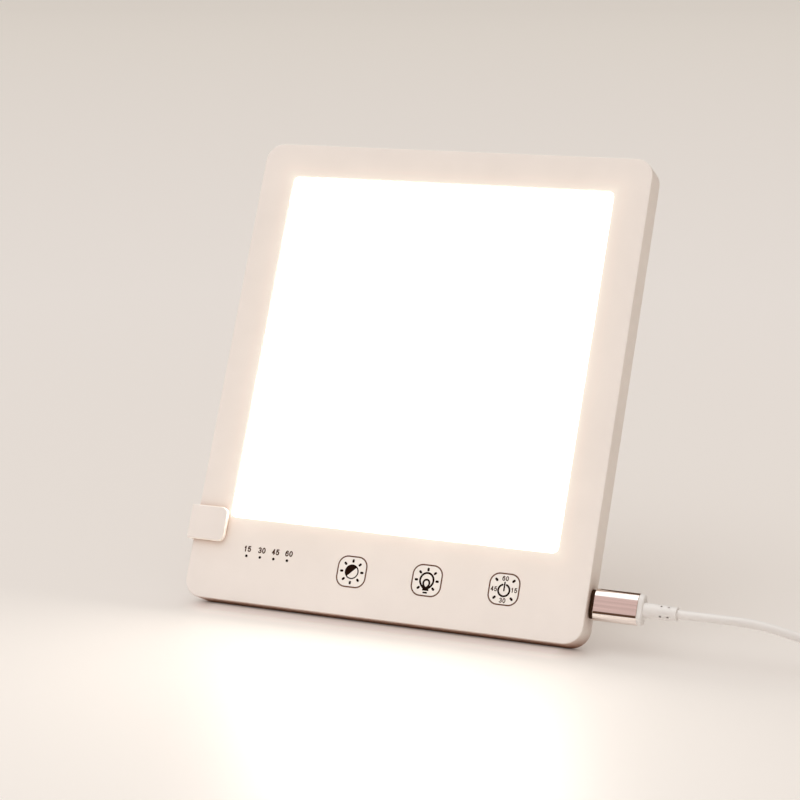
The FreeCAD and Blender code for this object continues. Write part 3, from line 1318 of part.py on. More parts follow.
# ---------------------------------------------------------------- the lamp
make_front_housing()
make_rear_cover()
make_case_screws()
make_diffuser()
make_sheet("diffuser_film", FILM_BACK, p.film_thickness)
make_sheet("light_guide", GUIDE_BACK, p.guide_thickness)
make_sheet("reflector_sheet", REFLECTOR_BACK, p.film_thickness)
make_spreader()
make_led_strip("left", -1)
make_led_strip("right", 1)
make_control_board()
make_board_screws()
make_key_pads()
make_timer_lights()
make_board_parts()
make_led_leads()
make_socket()
make_plug()
make_relief(
    "strain_relief", PANEL_PLACE, (CAP_END, -PORT_DEPTH, p.port_height), p.relief_length
)
tube_length = make_tube("cord_tube", CORD_ROUTE, p.cord_radius.value)
tail_length = make_tube("cord_tail", CORD_TAIL, p.cord_radius.value)
make_coil()
make_coil_tie()
make_far_plug()
make_stand_bracket()
make_rest_pads()
make_hinge_pin()
make_leg()
make_foot_pad()
doc.recompute()

coil_length = 2 * math.pi * p.coil_middle.value * p.coil_turns.value
print("cord length", round(tube_length + coil_length + tail_length), "mm")
print("hinge point", HINGE_POINT, "fold", FOLD.value, "cord exit", CORD_EXIT)
print("table shift", TABLE_SHIFT, "foot", FOOT_Y.value + TABLE_SHIFT.y)

for thing in doc.Objects:
    if {"Invalid", "Error"} & set(thing.State):
        raise RuntimeError(f"{thing.Label} did not compute: {thing.State}")
for part in PARTS:
    if part.Shape.isNull() or not part.Shape.isValid() or part.Shape.Volume <= 0:
        raise RuntimeError(f"{part.Label} has no valid shape")

os.makedirs("parts", exist_ok=True)
for part in PARTS:
    part.Shape.exportStep(f"parts/{part.Label}.step")
print(len(PARTS), "parts written")
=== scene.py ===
import json
import math

import bmesh
import bpy
from mathutils import Matrix, Vector


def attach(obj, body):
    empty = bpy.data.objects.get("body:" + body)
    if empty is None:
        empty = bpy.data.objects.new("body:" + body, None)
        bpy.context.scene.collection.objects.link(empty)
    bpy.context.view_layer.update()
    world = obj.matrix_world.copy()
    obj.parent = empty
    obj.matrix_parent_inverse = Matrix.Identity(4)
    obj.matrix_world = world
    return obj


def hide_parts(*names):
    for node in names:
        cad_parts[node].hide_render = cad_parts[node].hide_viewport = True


# The looks of a light therapy lamp: a slim lit panel with printed touch keys, its clip-on stand
# and its cord. Metres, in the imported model's own frame.

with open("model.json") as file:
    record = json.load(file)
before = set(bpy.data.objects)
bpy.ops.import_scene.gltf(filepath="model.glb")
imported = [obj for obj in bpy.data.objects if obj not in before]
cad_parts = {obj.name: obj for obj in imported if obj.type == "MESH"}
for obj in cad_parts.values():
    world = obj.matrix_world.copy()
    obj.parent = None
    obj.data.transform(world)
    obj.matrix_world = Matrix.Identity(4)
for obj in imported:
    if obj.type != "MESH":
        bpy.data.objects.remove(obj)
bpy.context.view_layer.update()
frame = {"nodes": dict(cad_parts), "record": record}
NODES = frame["nodes"]
MM = 0.001


# ---------------------------------------------------------------- the panel's face, from the frame
def extent(node, direction):
    """Lowest and highest place of a CAD node along a direction."""
    places = [direction.dot(v.co) for v in NODES[node].data.vertices]
    return min(places), max(places)


def face_normal(node):
    """The normal of a node's largest face that looks to the front."""
    forward = [f for f in NODES[node].data.polygons if f.normal.y < 0]
    return max(forward, key=lambda f: f.area).normal.normalized()


ACROSS = Vector((1, 0, 0))
OUT = face_normal("diffuser_panel")
UP = OUT.cross(ACROSS)
PANEL_LEFT, PANEL_RIGHT = extent("front_housing", ACROSS)
PANEL_LOW = extent("front_housing", UP)[0]
PANEL_FRONT = extent("front_housing", OUT)[1]
PANEL_MIDDLE = (PANEL_LEFT + PANEL_RIGHT) / 2
PANEL_HALF = (PANEL_RIGHT - PANEL_LEFT) / 2
FACE_ORIGIN = ACROSS * PANEL_MIDDLE + UP * PANEL_LOW + OUT * PANEL_FRONT
FACE = Matrix((
    (ACROSS.x, UP.x, OUT.x, FACE_ORIGIN.x),
    (ACROSS.y, UP.y, OUT.y, FACE_ORIGIN.y),
    (ACROSS.z, UP.z, OUT.z, FACE_ORIGIN.z),
    (0, 0, 0, 1),
))


def on_face(node):
    """Middle of a CAD node as a place on the face: right of the middle, above the lower edge."""
    left, right = extent(node, ACROSS)
    low, high = extent(node, UP)
    return Vector(((left + right) / 2 - PANEL_MIDDLE, (low + high) / 2 - PANEL_LOW))


# ---------------------------------------------------------------- objects and camera
CAMERA_PLACE = Vector((0.33571, -0.82480, 0.27591))
CAMERA_AIM = Vector((-0.3782, 0.9014, -0.2107))
CAMERA_LENS = 98.9
CAMERA_SENSOR = 36.0


def add_object(name, data):
    """A new object in the scene."""
    item = bpy.data.objects.new(name, data)
    bpy.context.scene.collection.objects.link(item)
    return item


def aim(item, direction):
    """Turns a camera or a light to look along a direction."""
    item.rotation_mode = "QUATERNION"
    item.rotation_quaternion = direction.to_track_quat("-Z", "Y")


def make_camera():
    """The photograph's viewing angle."""
    data = bpy.data.cameras.new("camera")
    data.lens = CAMERA_LENS
    data.sensor_width = CAMERA_SENSOR
    camera = add_object("camera", data)
    camera.location = CAMERA_PLACE
    aim(camera, CAMERA_AIM)
    bpy.context.scene.camera = camera


# ---------------------------------------------------------------- shader nodes
# The owner of a node tree is a material or the world.
def add_node(owner, kind, **values):
    """A new node with its settings."""
    node = owner.node_tree.nodes.new(kind)
    for key, value in values.items():
        setattr(node, key, value)
    return node


def wire(owner, output, target):
    owner.node_tree.links.new(output, target)


def feed(owner, value, target):
    """Wires a node's output to a socket, or sets the socket to a plain value."""
    if isinstance(value, bpy.types.NodeSocket):
        wire(owner, value, target)
    else:
        target.default_value = value


def object_place(owner):
    return add_node(owner, "ShaderNodeTexCoord").outputs["Object"]


def calculate(owner, operation, *values):
    """A maths node whose inputs are outputs of other nodes or plain numbers."""
    node = add_node(owner, "ShaderNodeMath", operation=operation)
    for value, target in zip(values, node.inputs):
        feed(owner, value, target)
    return node.outputs[0]


def along(owner, source, direction):
    """How far a vector reaches along a direction."""
    node = add_node(owner, "ShaderNodeVectorMath", operation="DOT_PRODUCT")
    node.inputs[1].default_value = direction
    wire(owner, source, node.inputs[0])
    return node.outputs["Value"]


def ramp(owner, source, low, high, from_low=0.3, from_high=0.7):
    """Runs from low to high as the source goes from from_low to from_high, and stays there."""
    node = add_node(owner, "ShaderNodeMapRange")
    node.inputs["From Min"].default_value = from_low
    node.inputs["From Max"].default_value = from_high
    node.inputs["To Min"].default_value = low
    node.inputs["To Max"].default_value = high
    wire(owner, source, node.inputs["Value"])
    return node.outputs["Result"]


def scaled(owner, colour, factor):
    """A colour, fixed or from a node, times a number from a node."""
    node = add_node(owner, "ShaderNodeVectorMath", operation="SCALE")
    feed(owner, colour, node.inputs[0])
    wire(owner, factor, node.inputs["Scale"])
    return node.outputs["Vector"]


def added(owner, first, second):
    """The sum of two colours."""
    node = add_node(owner, "ShaderNodeVectorMath", operation="ADD")
    wire(owner, first, node.inputs[0])
    wire(owner, second, node.inputs[1])
    return node.outputs["Vector"]


def mixed(owner, factor, base, colour, blend="MIX"):
    """A colour blended with a fixed one, as far as the factor says."""
    node = add_node(owner, "ShaderNodeMix", data_type="RGBA", blend_type=blend)
    wire(owner, factor, node.inputs["Factor"])
    wire(owner, base, node.inputs["A"])
    node.inputs["B"].default_value = (*colour, 1.0)
    return node.outputs["Result"]


def colour_scale(owner, source, stops):
    """A colour that runs through the stops as a number goes from 0 to 1."""
    node = add_node(owner, "ShaderNodeValToRGB")
    elements = node.color_ramp.elements
    while len(elements) < len(stops):
        elements.new(0.5)
    for element, (place, colour) in zip(elements, stops):
        element.position = place
        element.color = (*colour, 1.0)
    wire(owner, source, node.inputs["Fac"])
    return node.outputs["Color"]


def openness(owner, reach):
    """How open a surface lies: 1 where nothing is within reach, 0 in a closed corner."""
    node = add_node(owner, "ShaderNodeAmbientOcclusion", samples=2)
    node.inputs["Distance"].default_value = reach
    return node.outputs["AO"]


def noise(owner, per_metre, detail=2.0, stretch=(1, 1, 1)):
    """Noise with that many features to a metre, stretched along an axis where that is over 1."""
    spread = add_node(owner, "ShaderNodeMapping")
    spread.inputs["Scale"].default_value = [per_metre / s for s in stretch]
    wire(owner, object_place(owner), spread.inputs["Vector"])
    texture = add_node(owner, "ShaderNodeTexNoise")
    texture.inputs["Scale"].default_value = 1.0
    texture.inputs["Detail"].default_value = detail
    wire(owner, spread.outputs["Vector"], texture.inputs["Vector"])
    return texture.outputs["Fac"]


# ---------------------------------------------------------------- finishes
def shader_of(material):
    return material.node_tree.nodes["Principled BSDF"]


def surface(name, colour, roughness, metallic=0.0, specular=0.5):
    """A plain shader to which the functions below add grain, mottling and uneven gloss."""
    material = bpy.data.materials.new(name)
    material.use_nodes = True
    inputs = shader_of(material).inputs
    inputs["Base Color"].default_value = (*colour, 1.0)
    inputs["Roughness"].default_value = roughness
    inputs["Metallic"].default_value = metallic
    inputs["Specular IOR Level"].default_value = specular
    return material


def shine(material, light, strength=1.0):
    """Makes a surface give off light of its own."""
    wire(material, light, shader_of(material).inputs["Emission Color"])
    shader_of(material).inputs["Emission Strength"].default_value = strength


def shades(colour, light, dark):
    """A lighter and a darker tone of a colour, each by a factor."""
    return [min(1.0, c * light) for c in colour], [c * dark for c in colour]


def mottle(material, per_metre, tones, stretch=(1, 1, 1)):
    """Blends the base colour between two near tones in soft patches."""
    mix = add_node(material, "ShaderNodeMix", data_type="RGBA")
    for socket, tone in zip("AB", tones):
        mix.inputs[socket].default_value = (*tone, 1.0)
    source = noise(material, per_metre, stretch=stretch)
    wire(material, ramp(material, source, 0, 1), mix.inputs["Factor"])
    wire(material, mix.outputs["Result"], shader_of(material).inputs["Base Color"])


def uneven_gloss(material, per_metre, low, high, stretch=(1, 1, 1)):
    """Lets the roughness wander between two values."""
    source = noise(material, per_metre, stretch=stretch)
    wire(material, ramp(material, source, low, high), shader_of(material).inputs["Roughness"])


def relief(material, height, depth):
    """A bump as deep as depth, in metres, where the height goes from 0 to 1."""
    bump = add_node(material, "ShaderNodeBump")
    bump.inputs["Distance"].default_value = depth
    bump.inputs["Strength"].default_value = 1.0
    wire(material, height, bump.inputs["Height"])
    wire(material, bump.outputs["Normal"], shader_of(material).inputs["Normal"])


def grain(material, per_metre, depth, detail=2.0, stretch=(1, 1, 1)):
    """A fine uneven relief."""
    relief(material, noise(material, per_metre, detail, stretch), depth)


def moulded(name, colour, roughness=0.5, depth=0.006 * MM, per_metre=2600, specular=0.5):
    """Moulded plastic with a fine spark-eroded texture."""
    material = surface(name, colour, roughness, specular=specular)
    mottle(material, per_metre=45, tones=shades(colour, light=1.015, dark=0.975))
    uneven_gloss(material, per_metre=160, low=roughness - 0.05, high=roughness + 0.06)
    grain(material, per_metre, depth)
    return material


def printed(name, colour):
    """Matt screen-printing ink."""
    material = surface(name, colour, roughness=0.8, specular=0.05)
    mottle(material, per_metre=700, tones=shades(colour, light=1.1, dark=0.9))
    return material


METAL_MARKS = 3000


def metal(name, colour, roughness, stretch=(1, 1, 1)):
    """Bare metal with fine marks, METAL_MARKS to a metre."""
    material = surface(name, colour, roughness, metallic=1.0)
    duller, brighter = roughness * 1.3, roughness * 0.75
    uneven_gloss(material, METAL_MARKS, low=brighter, high=duller, stretch=stretch)
    grain(material, METAL_MARKS, depth=0.001 * MM, stretch=stretch)
    return material


# ---------------------------------------------------------------- stage and lights
FLOOR_SIZE = 40.0
# The table's colour, with painted light and shade that change with the distance from the object,
# darker far off: the share of its reach from the object, and the colour there.
FLOOR_REACH = 8.0
FLOOR_PAINTED_TONES = (
    (0.0, (0.862, 0.824, 0.788)),
    (0.10, (0.910, 0.885, 0.862)),
    (0.55, (0.850, 0.828, 0.776)),
    (1.0, (0.770, 0.750, 0.695)),
)
FLOOR_ROUGHNESS = 0.42
FLOOR_GLOSS = 0.25
# For the camera alone, the table gives up this share of its colour and has a light of its own
# instead, so that shadows stay pale. That light goes out in the last few millimetres at a
# contact, where the table lies less open than FILL_OPEN.
FILL_SHARE = 0.33
FLOOR_FILL = (0.26, 0.235, 0.215)
FILL_REACH = 8 * MM
FILL_OPEN = 0.3
# Painted light on the table under the panel's front edge, for the camera alone too, standing in
# for what a bright table throws back there.
# Ahead of the line on which the panel stands it is full from RISE to STAY and gone at FADE. FALL
# is the power to which it fades. Over ENDS it dies away towards the panel's corners.
PAINTED_UNDERGLOW = (0.45, 0.385, 0.35)
UNDERGLOW_RISE = 3 * MM
UNDERGLOW_STAY = 6 * MM
UNDERGLOW_FADE = 20 * MM
UNDERGLOW_FALL = 2.0
UNDERGLOW_ENDS = 12 * MM
# The studio: the upward part of a direction, from 0 to 1, and the light that comes from there.
SKY = (
    (0.0, (0.37, 0.345, 0.325)),
    (0.30, (0.48, 0.445, 0.425)),
    (0.50, (0.63, 0.48, 0.452)),
    (0.565, (0.68, 0.52, 0.49)),
    (0.61, (1.18, 1.19, 1.17)),
    (1.0, (1.28, 1.29, 1.27)),
)
# What the far right leaves of that light.
RIGHT_TINT = (0.46, 0.38, 0.27)
# Dark cards that only gloss picks up: a direction and an angle about it, in degrees.
CARDS = (
    (Vector((-0.264, -0.94, 0.20)), 14),
    (Vector((0.0, 0.89, -0.45)), 90),
)
CARD_SOFTNESS = 1.5
CARD_COLOUR = (0.10, 0.055, 0.035)
KEY_DIRECTION = Vector((0.32, 0.30, -0.90))
KEY_STRENGTH = 0.36
KEY_SOFTNESS = 46


def painted_underglow_mask(material, place):
    """1 on the table under the panel's front edge, less in front of it, 0 elsewhere: the mask of
    the painted light there.
    """
    standing = min(v.co.y for v in NODES["front_housing"].data.vertices if v.co.z < MM)
    ahead = calculate(material, "SUBTRACT", standing, along(material, place, (0, 1, 0)))
    rise = ramp(material, ahead, 0, 1, 0, UNDERGLOW_RISE)
    fade = ramp(material, ahead, 1, 0, UNDERGLOW_STAY, UNDERGLOW_FADE)
    fade = calculate(material, "POWER", fade, UNDERGLOW_FALL)
    aside = calculate(material, "SUBTRACT", along(material, place, ACROSS), PANEL_MIDDLE)
    aside = calculate(material, "ABSOLUTE", aside)
    ends = ramp(material, aside, 1, 0, PANEL_HALF - UNDERGLOW_ENDS, PANEL_HALF)
    return calculate(material, "MULTIPLY", calculate(material, "MULTIPLY", rise, fade), ends)


def make_floor_material():
    """A pale, slightly glossy table, darker far off. Seen by the camera it gives off painted light
    of its own, so that its shadows stay light, and painted light under the panel's front edge.
    """
    material = surface("floor", FLOOR_PAINTED_TONES[0][1], FLOOR_ROUGHNESS, specular=FLOOR_GLOSS)
    place = object_place(material)
    away = add_node(material, "ShaderNodeVectorMath", operation="LENGTH")
    wire(material, place, away.inputs[0])
    share = calculate(material, "DIVIDE", away.outputs["Value"], FLOOR_REACH)
    # Painted light and shade: the table's colour changes with the distance from the object, darker
    # far off.
    colour = colour_scale(material, share, FLOOR_PAINTED_TONES)
    seen = add_node(material, "ShaderNodeLightPath").outputs["Is Camera Ray"]
    base = mixed(material, seen, colour, [1 - FILL_SHARE] * 3, "MULTIPLY")
    wire(material, base, shader_of(material).inputs["Base Color"])
    open_floor = ramp(material, openness(material, FILL_REACH), 0, 1, 0, FILL_OPEN)
    fill = scaled(material, FLOOR_FILL, open_floor)
    # Painted light under the panel's front edge.
    painted_underglow = scaled(material, PAINTED_UNDERGLOW, painted_underglow_mask(material, place))
    shine(material, scaled(material, added(material, fill, painted_underglow), seen))
    return material


def make_sky():
    """A studio that is dim at the horizon and bright overhead."""
    world = bpy.data.worlds.new("studio")
    world.use_nodes = True
    direction = add_node(world, "ShaderNodeTexCoord").outputs["Generated"]
    split = add_node(world, "ShaderNodeSeparateXYZ")
    wire(world, direction, split.inputs["Vector"])
    light = colour_scale(world, split.outputs["Z"], SKY)
    light = mixed(world, split.outputs["X"], light, RIGHT_TINT, "MULTIPLY")
    in_gloss = add_node(world, "ShaderNodeLightPath").outputs["Is Glossy Ray"]
    for card_direction, angle in CARDS:
        outer = math.cos(math.radians(angle + CARD_SOFTNESS))
        inner = math.cos(math.radians(angle - CARD_SOFTNESS))
        towards = along(world, direction, card_direction.normalized())
        edge = ramp(world, towards, 0, 1, outer, inner)
        light = mixed(world, calculate(world, "MULTIPLY", edge, in_gloss), light, CARD_COLOUR)
    wire(world, light, world.node_tree.nodes["Background"].inputs["Color"])
    bpy.context.scene.world = world


def make_key_light():
    """A broad soft light that falls alike on the whole floor."""
    data = bpy.data.lights.new("key", "SUN")
    data.energy = KEY_STRENGTH
    data.angle = math.radians(KEY_SOFTNESS)
    aim(add_object("key", data), KEY_DIRECTION)


def make_stage():
    """The table, the studio round it and the key light."""
    mesh = bpy.data.meshes.new("floor")
    half = FLOOR_SIZE / 2
    corners = [(-half, -half, 0), (half, -half, 0), (half, half, 0), (-half, half, 0)]
    mesh.from_pydata(corners, [], [(0, 1, 2, 3)])
    floor = add_object("floor", mesh)
    floor.data.materials.append(make_floor_material())
    make_sky()
    make_key_light()
    bpy.context.scene.view_settings.view_transform = "Standard"


# ---------------------------------------------------------------- the lamp's own light
LAMP_COLOUR = (1.0, 0.95, 0.87)
LAMP_STRENGTH = 8.6
# Along its edge the opal panel keeps this share of its light, rising to all of it further in.
LAMP_EDGE = 0.18
LAMP_EDGE_WIDTH = 2.5 * MM
# How far the opal panel's flange reaches past the window, behind the face.
FLANGE = 2.6 * MM
# Painted glow round the window, where a little of the lamp's light creeps through the moulding:
# how far it reaches, and its colour there.
PAINTED_GLOWS = (
    (2.0 * MM, (0.14, 0.12, 0.10)),
    (9.0 * MM, (0.072, 0.043, 0.012)),
)
# A painted glow for the clip, where its edges catch the lamp's light: how far it reaches from the
# window, and its colour there. It goes from all to nothing as a face turns from sideways to the
# front, and from nothing to all as a point comes up from this depth to the panel's front.
PAINTED_EDGE_GLOW = (24.0 * MM, (0.28, 0.255, 0.21))
PAINTED_GLOW_FACING = (0.25, 0.95)
CLIP_DEPTH = 4 * MM
# The housing has painted shade close to other pieces, darker and browner where shade falls: the
# reach, and the openness up to which that is full and from which it no longer shows.
PAINTED_SHADE_REACH = 9 * MM
PAINTED_SHADE_OPENNESS = (0.25, 0.75)
PAINTED_SHADE_TINT = (0.34, 0.13, 0.05)
HOUSING_WHITE = (0.930, 0.862, 0.818)


def beyond_window(material):
    """How far a point lies outside the light window's edges, across and up, negative inside."""
    place = object_place(material)
    distances = []
    for direction in (ACROSS, UP):
        low, high = extent("diffuser_panel", direction)
        off = calculate(material, "SUBTRACT", along(material, place, direction), (low + high) / 2)
        size = calculate(material, "ABSOLUTE", off)
        distances.append(calculate(material, "SUBTRACT", size, (high - low) / 2 - FLANGE))
    return distances


def window_distance(material):
    """Distance of a point from the light window's edge, nought inside it."""
    squares = [
        calculate(material, "POWER", calculate(material, "MAXIMUM", distance, 0.0), 2.0)
        for distance in beyond_window(material)
    ]
    return calculate(material, "SQRT", calculate(material, "ADD", *squares))


def fading_light(material, distance, reach, colour, strength=1.0):
    """Light that falls off over a distance, as a colour."""
    fade = calculate(material, "EXPONENT", calculate(material, "DIVIDE", distance, -reach))
    return scaled(material, colour, calculate(material, "MULTIPLY", fade, strength))


def make_housing_material():
    """Moulded white, with painted shade close to other pieces and a painted glow round the window,
    where a little of the lamp's light comes through.
    """
    material = moulded("housing_white", HOUSING_WHITE)
    base = shader_of(material).inputs["Base Color"]
    # Painted shade: darker and browner close to other pieces.
    painted_shade = ramp(material, openness(material, PAINTED_SHADE_REACH), 1, 0, *PAINTED_SHADE_OPENNESS)
    mottled = base.links[0].from_socket
    wire(material, mixed(material, painted_shade, mottled, PAINTED_SHADE_TINT, "MULTIPLY"), base)
    # Painted glow round the window.
    distance = window_distance(material)
    near, far = (fading_light(material, distance, *glow) for glow in PAINTED_GLOWS)
    shine(material, added(material, near, far))
    return material


def make_stand_material():
    """Moulded white, with a painted glow on the clip's side faces and rounds near the window,
    where they catch the lamp's light.
    """
    material = moulded("stand_white", HOUSING_WHITE)
    # Painted glow on the clip's side faces and rounds near the window.
    normal = add_node(material, "ShaderNodeNewGeometry").outputs["Normal"]
    facing = calculate(material, "ABSOLUTE", along(material, normal, OUT))
    sideways = ramp(material, facing, 1, 0, *PAINTED_GLOW_FACING)
    height = along(material, object_place(material), OUT)
    in_front = ramp(material, height, 0, 1, PANEL_FRONT - CLIP_DEPTH, PANEL_FRONT)
    strength = calculate(material, "MULTIPLY", sideways, in_front)
    shine(material, fading_light(material, window_distance(material), *PAINTED_EDGE_GLOW, strength))
    return material


def make_diffuser_material():
    """Opal plastic, lit from behind."""
    material = surface("diffuser_opal", (0.96, 0.95, 0.92), roughness=0.45)
    grain(material, per_metre=1800, depth=0.004 * MM)
    edge = calculate(material, "MAXIMUM", *beyond_window(material))
    level = ramp(material, edge, 1, LAMP_EDGE, -LAMP_EDGE_WIDTH, 0)
    shine(material, scaled(material, LAMP_COLOUR, level), LAMP_STRENGTH)
    return material


# ---------------------------------------------------------------- materials
SLEEVE_ROSE = (0.94, 0.85, 0.81)
STRAP_RIBS = 420
# Deep-coloured plastic mirrors little of the room.
DARK_GLOSS = 0.12


def make_clear_material():
    """Clear acrylic."""
    material = surface("guide_clear", (0.93, 0.96, 0.96), roughness=0.08)
    uneven_gloss(material, per_metre=400, low=0.05, high=0.12)
    shader_of(material).inputs["Transmission Weight"].default_value = 0.9
    shader_of(material).inputs["IOR"].default_value = 1.49
    return material


def make_board_material():
    """Green solder mask over woven glass."""
    material = surface("board_green", (0.03, 0.16, 0.08), roughness=0.3)
    mottle(material, per_metre=900, tones=((0.035, 0.19, 0.09), (0.02, 0.12, 0.06)))
    grain(material, per_metre=1500, depth=0.01 * MM, stretch=(3, 1, 1))
    return material


def make_strap_material():
    """A ribbed strap, its ribs across the strand."""
    material = surface("tie_white", (0.62, 0.60, 0.56), roughness=0.6)
    mottle(material, per_metre=300, tones=((0.66, 0.64, 0.60), (0.58, 0.56, 0.52)))
    ribs = add_node(material, "ShaderNodeTexWave", bands_direction="X")
    ribs.inputs["Scale"].default_value = STRAP_RIBS
    wire(material, object_place(material), ribs.inputs["Vector"])
    relief(material, ribs.outputs["Fac"], depth=0.05 * MM)
    return material


def make_sleeve_material():
    """Polished metal with a rose tint, drawn lengthwise."""
    material = metal("sleeve_rose", SLEEVE_ROSE, roughness=0.07, stretch=(14, 1, 1))
    tones = shades(SLEEVE_ROSE, light=1.05, dark=0.84)
    mottle(material, per_metre=1100, tones=tones, stretch=(60, 1, 1))
    return material


def make_foam_material():
    """Soft foam with open pores."""
    material = surface("foam_grey", (0.12, 0.12, 0.125), roughness=0.85)
    grain(material, per_metre=2500, depth=0.05 * MM, detail=6.0)
    return material


def make_rubber_material():
    """Dull grey rubber."""
    material = surface("pad_grey", (0.075, 0.075, 0.08), roughness=0.75)
    mottle(material, per_metre=200, tones=((0.085, 0.085, 0.09), (0.065, 0.065, 0.07)))
    grain(material, per_metre=1800, depth=0.02 * MM, detail=4.0)
    return material


MATERIALS = {
    "housing_white": make_housing_material(),
    "cover_white": moulded("cover_white", (0.80, 0.72, 0.63), 0.55, 0.05 * MM, per_metre=1500),
    "stand_white": make_stand_material(),
    "diffuser_opal": make_diffuser_material(),
    "film_white": moulded("film_white", (0.92, 0.92, 0.90), 0.35),
    "guide_clear": make_clear_material(),
    "spreader_aluminium": metal("spreader_aluminium", (0.78, 0.79, 0.80), 0.38, (1, 1, 12)),
    "board_green": make_board_material(),
    "chip_black": moulded("chip_black", (0.02, 0.02, 0.022), 0.55),
    "led_yellow": moulded("led_yellow", (0.85, 0.62, 0.12), 0.4),
    "foam_grey": make_foam_material(),
    "part_white": moulded("part_white", (0.72, 0.70, 0.63), 0.45),
    "screw_steel": metal("screw_steel", (0.55, 0.55, 0.57), 0.32),
    "socket_steel": metal("socket_steel", (0.66, 0.66, 0.68), 0.24, (10, 1, 1)),
    "plug_black": moulded("plug_black", (0.040, 0.016, 0.006), 0.6, specular=DARK_GLOSS),
    "sleeve_rose": make_sleeve_material(),
    "cord_white": moulded("cord_white", (0.86, 0.83, 0.81), 0.42, 0.004 * MM),
    "tie_white": make_strap_material(),
    "pad_grey": make_rubber_material(),
    "pin_steel": metal("pin_steel", (0.62, 0.62, 0.64), 0.22, (1, 10, 10)),
    "wire_red": moulded("wire_red", (0.42, 0.012, 0.008), 0.4),
    "pipe_smoke": moulded("pipe_smoke", (0.010, 0.006, 0.004), 0.3, specular=DARK_GLOSS),
    "sign_ink": printed("sign_ink", (0.016, 0.005, 0.002)),
    "sign_outline": printed("sign_outline", (0.15, 0.070, 0.045)),
    "figure_ink": printed("figure_ink", (0.065, 0.026, 0.015)),
    "sign_field": moulded("sign_field", (0.97, 0.915, 0.870), 0.42),
}


def dress_nodes():
    """Gives each CAD node the material of its slot in the record."""
    for part in frame["record"]["subparts"]:
        mesh = NODES[part["node"]].data
        mesh.materials.clear()
        mesh.materials.append(MATERIALS[part["material_slot"]])


# ---------------------------------------------------------------- lines and outlines of the signs
ARC_STEPS = 48
BOW_STEPS = 20
PEN_END_STEPS = 8


def arc(x, y, radius, first, last, steps=ARC_STEPS):
    """Points of an arc between two angles in degrees, ends included."""
    angles = [math.radians(first + (last - first) * i / steps) for i in range(steps + 1)]
    return [(x + radius * math.cos(a), y + radius * math.sin(a)) for a in angles]


def placed(line, x, y, across, up):
    """A line's points, stretched across and up and then moved to a place."""
    return [(x + across * a, y + up * b) for a, b in line]


def bow(x, y, across, up, first, last):
    """An arc of an ellipse."""
    return placed(arc(0, 0, 1, first, last, BOW_STEPS), x, y, across, up)


def squircle(half, corner):
    """A square outline with round corners, counter-clockwise."""
    reach = half - corner
    points = []
    for x, y, first in ((1, 1, 0), (-1, 1, 90), (-1, -1, 180), (1, -1, 270)):
        points += arc(x * reach, y * reach, corner, first, first + 90, ARC_STEPS // 4)
    return points


def stroke(points, width):
    """The outline of an open line drawn with a round pen."""
    pen = width / 2
    sides = []
    for index, (x, y) in enumerate(points):
        before = points[max(index - 1, 0)]
        after = points[min(index + 1, len(points) - 1)]
        heading = math.atan2(after[1] - before[1], after[0] - before[0])
        sides.append((x, y, heading))
    outline = [(x + pen * math.sin(a), y - pen * math.cos(a)) for x, y, a in sides]
    x, y, heading = sides[-1]
    turn = math.degrees(heading)
    outline += arc(x, y, pen, turn - 90, turn + 90, PEN_END_STEPS)[1:-1]
    outline += [(x - pen * math.sin(a), y + pen * math.cos(a)) for x, y, a in reversed(sides)]
    x, y, heading = sides[0]
    turn = math.degrees(heading)
    outline += arc(x, y, pen, turn + 90, turn + 270, PEN_END_STEPS)[1:-1]
    return outline


def offset(points, distance):
    """A closed counter-clockwise outline, moved outwards."""
    count = len(points)
    moved = []
    for index, (x, y) in enumerate(points):
        before, after = points[index - 1], points[(index + 1) % count]
        heading = math.atan2(after[1] - before[1], after[0] - before[0])
        moved.append((x + distance * math.sin(heading), y - distance * math.cos(heading)))
    return moved


# The pen's closed and open lines for each figure, in a box from -1 to 1 both ways.
DIGITS = {
    "0": ((bow(0, 0, 1, 1, 0, 360)[:-1],), ()),
    "1": ((), ([(0.2, 1), (0.2, -1)], [(0.2, 1), (-0.45, 0.5)])),
    "3": ((), (bow(-0.05, 0.5, 0.85, 0.5, 155, -90), bow(-0.05, -0.47, 1, 0.53, 90, -155))),
    "4": ((), ([(0.4, 1), (0.4, -1)], [(0.4, 1), (-1, -0.45)], [(-1, -0.45), (1, -0.45)])),
    "5": ((), ([(0.8, 1), (-0.6, 1)], [(-0.6, 1), (-0.85, 0)], bow(0, -0.35, 1, 0.65, 145, -155))),
    "6": ((bow(0, -0.37, 1, 0.63, 0, 360)[:-1],), (bow(0.1, -0.3, 1.1, 1.3, 180, 50),)),
}
# A figure's pen, width and pitch, as parts of its height.
FIGURE_PEN = 0.19
FIGURE_WIDTH = 0.63
FIGURE_PITCH = 0.72


# ---------------------------------------------------------------- prints on the face
# How far a print stands out of the face, and how far it is let in.
FIELD_RISE = 0.02 * MM
INK_RISE = 0.04 * MM
SUNK = 0.02 * MM
# The slot of the signs and the figures.
INK = "sign_ink"


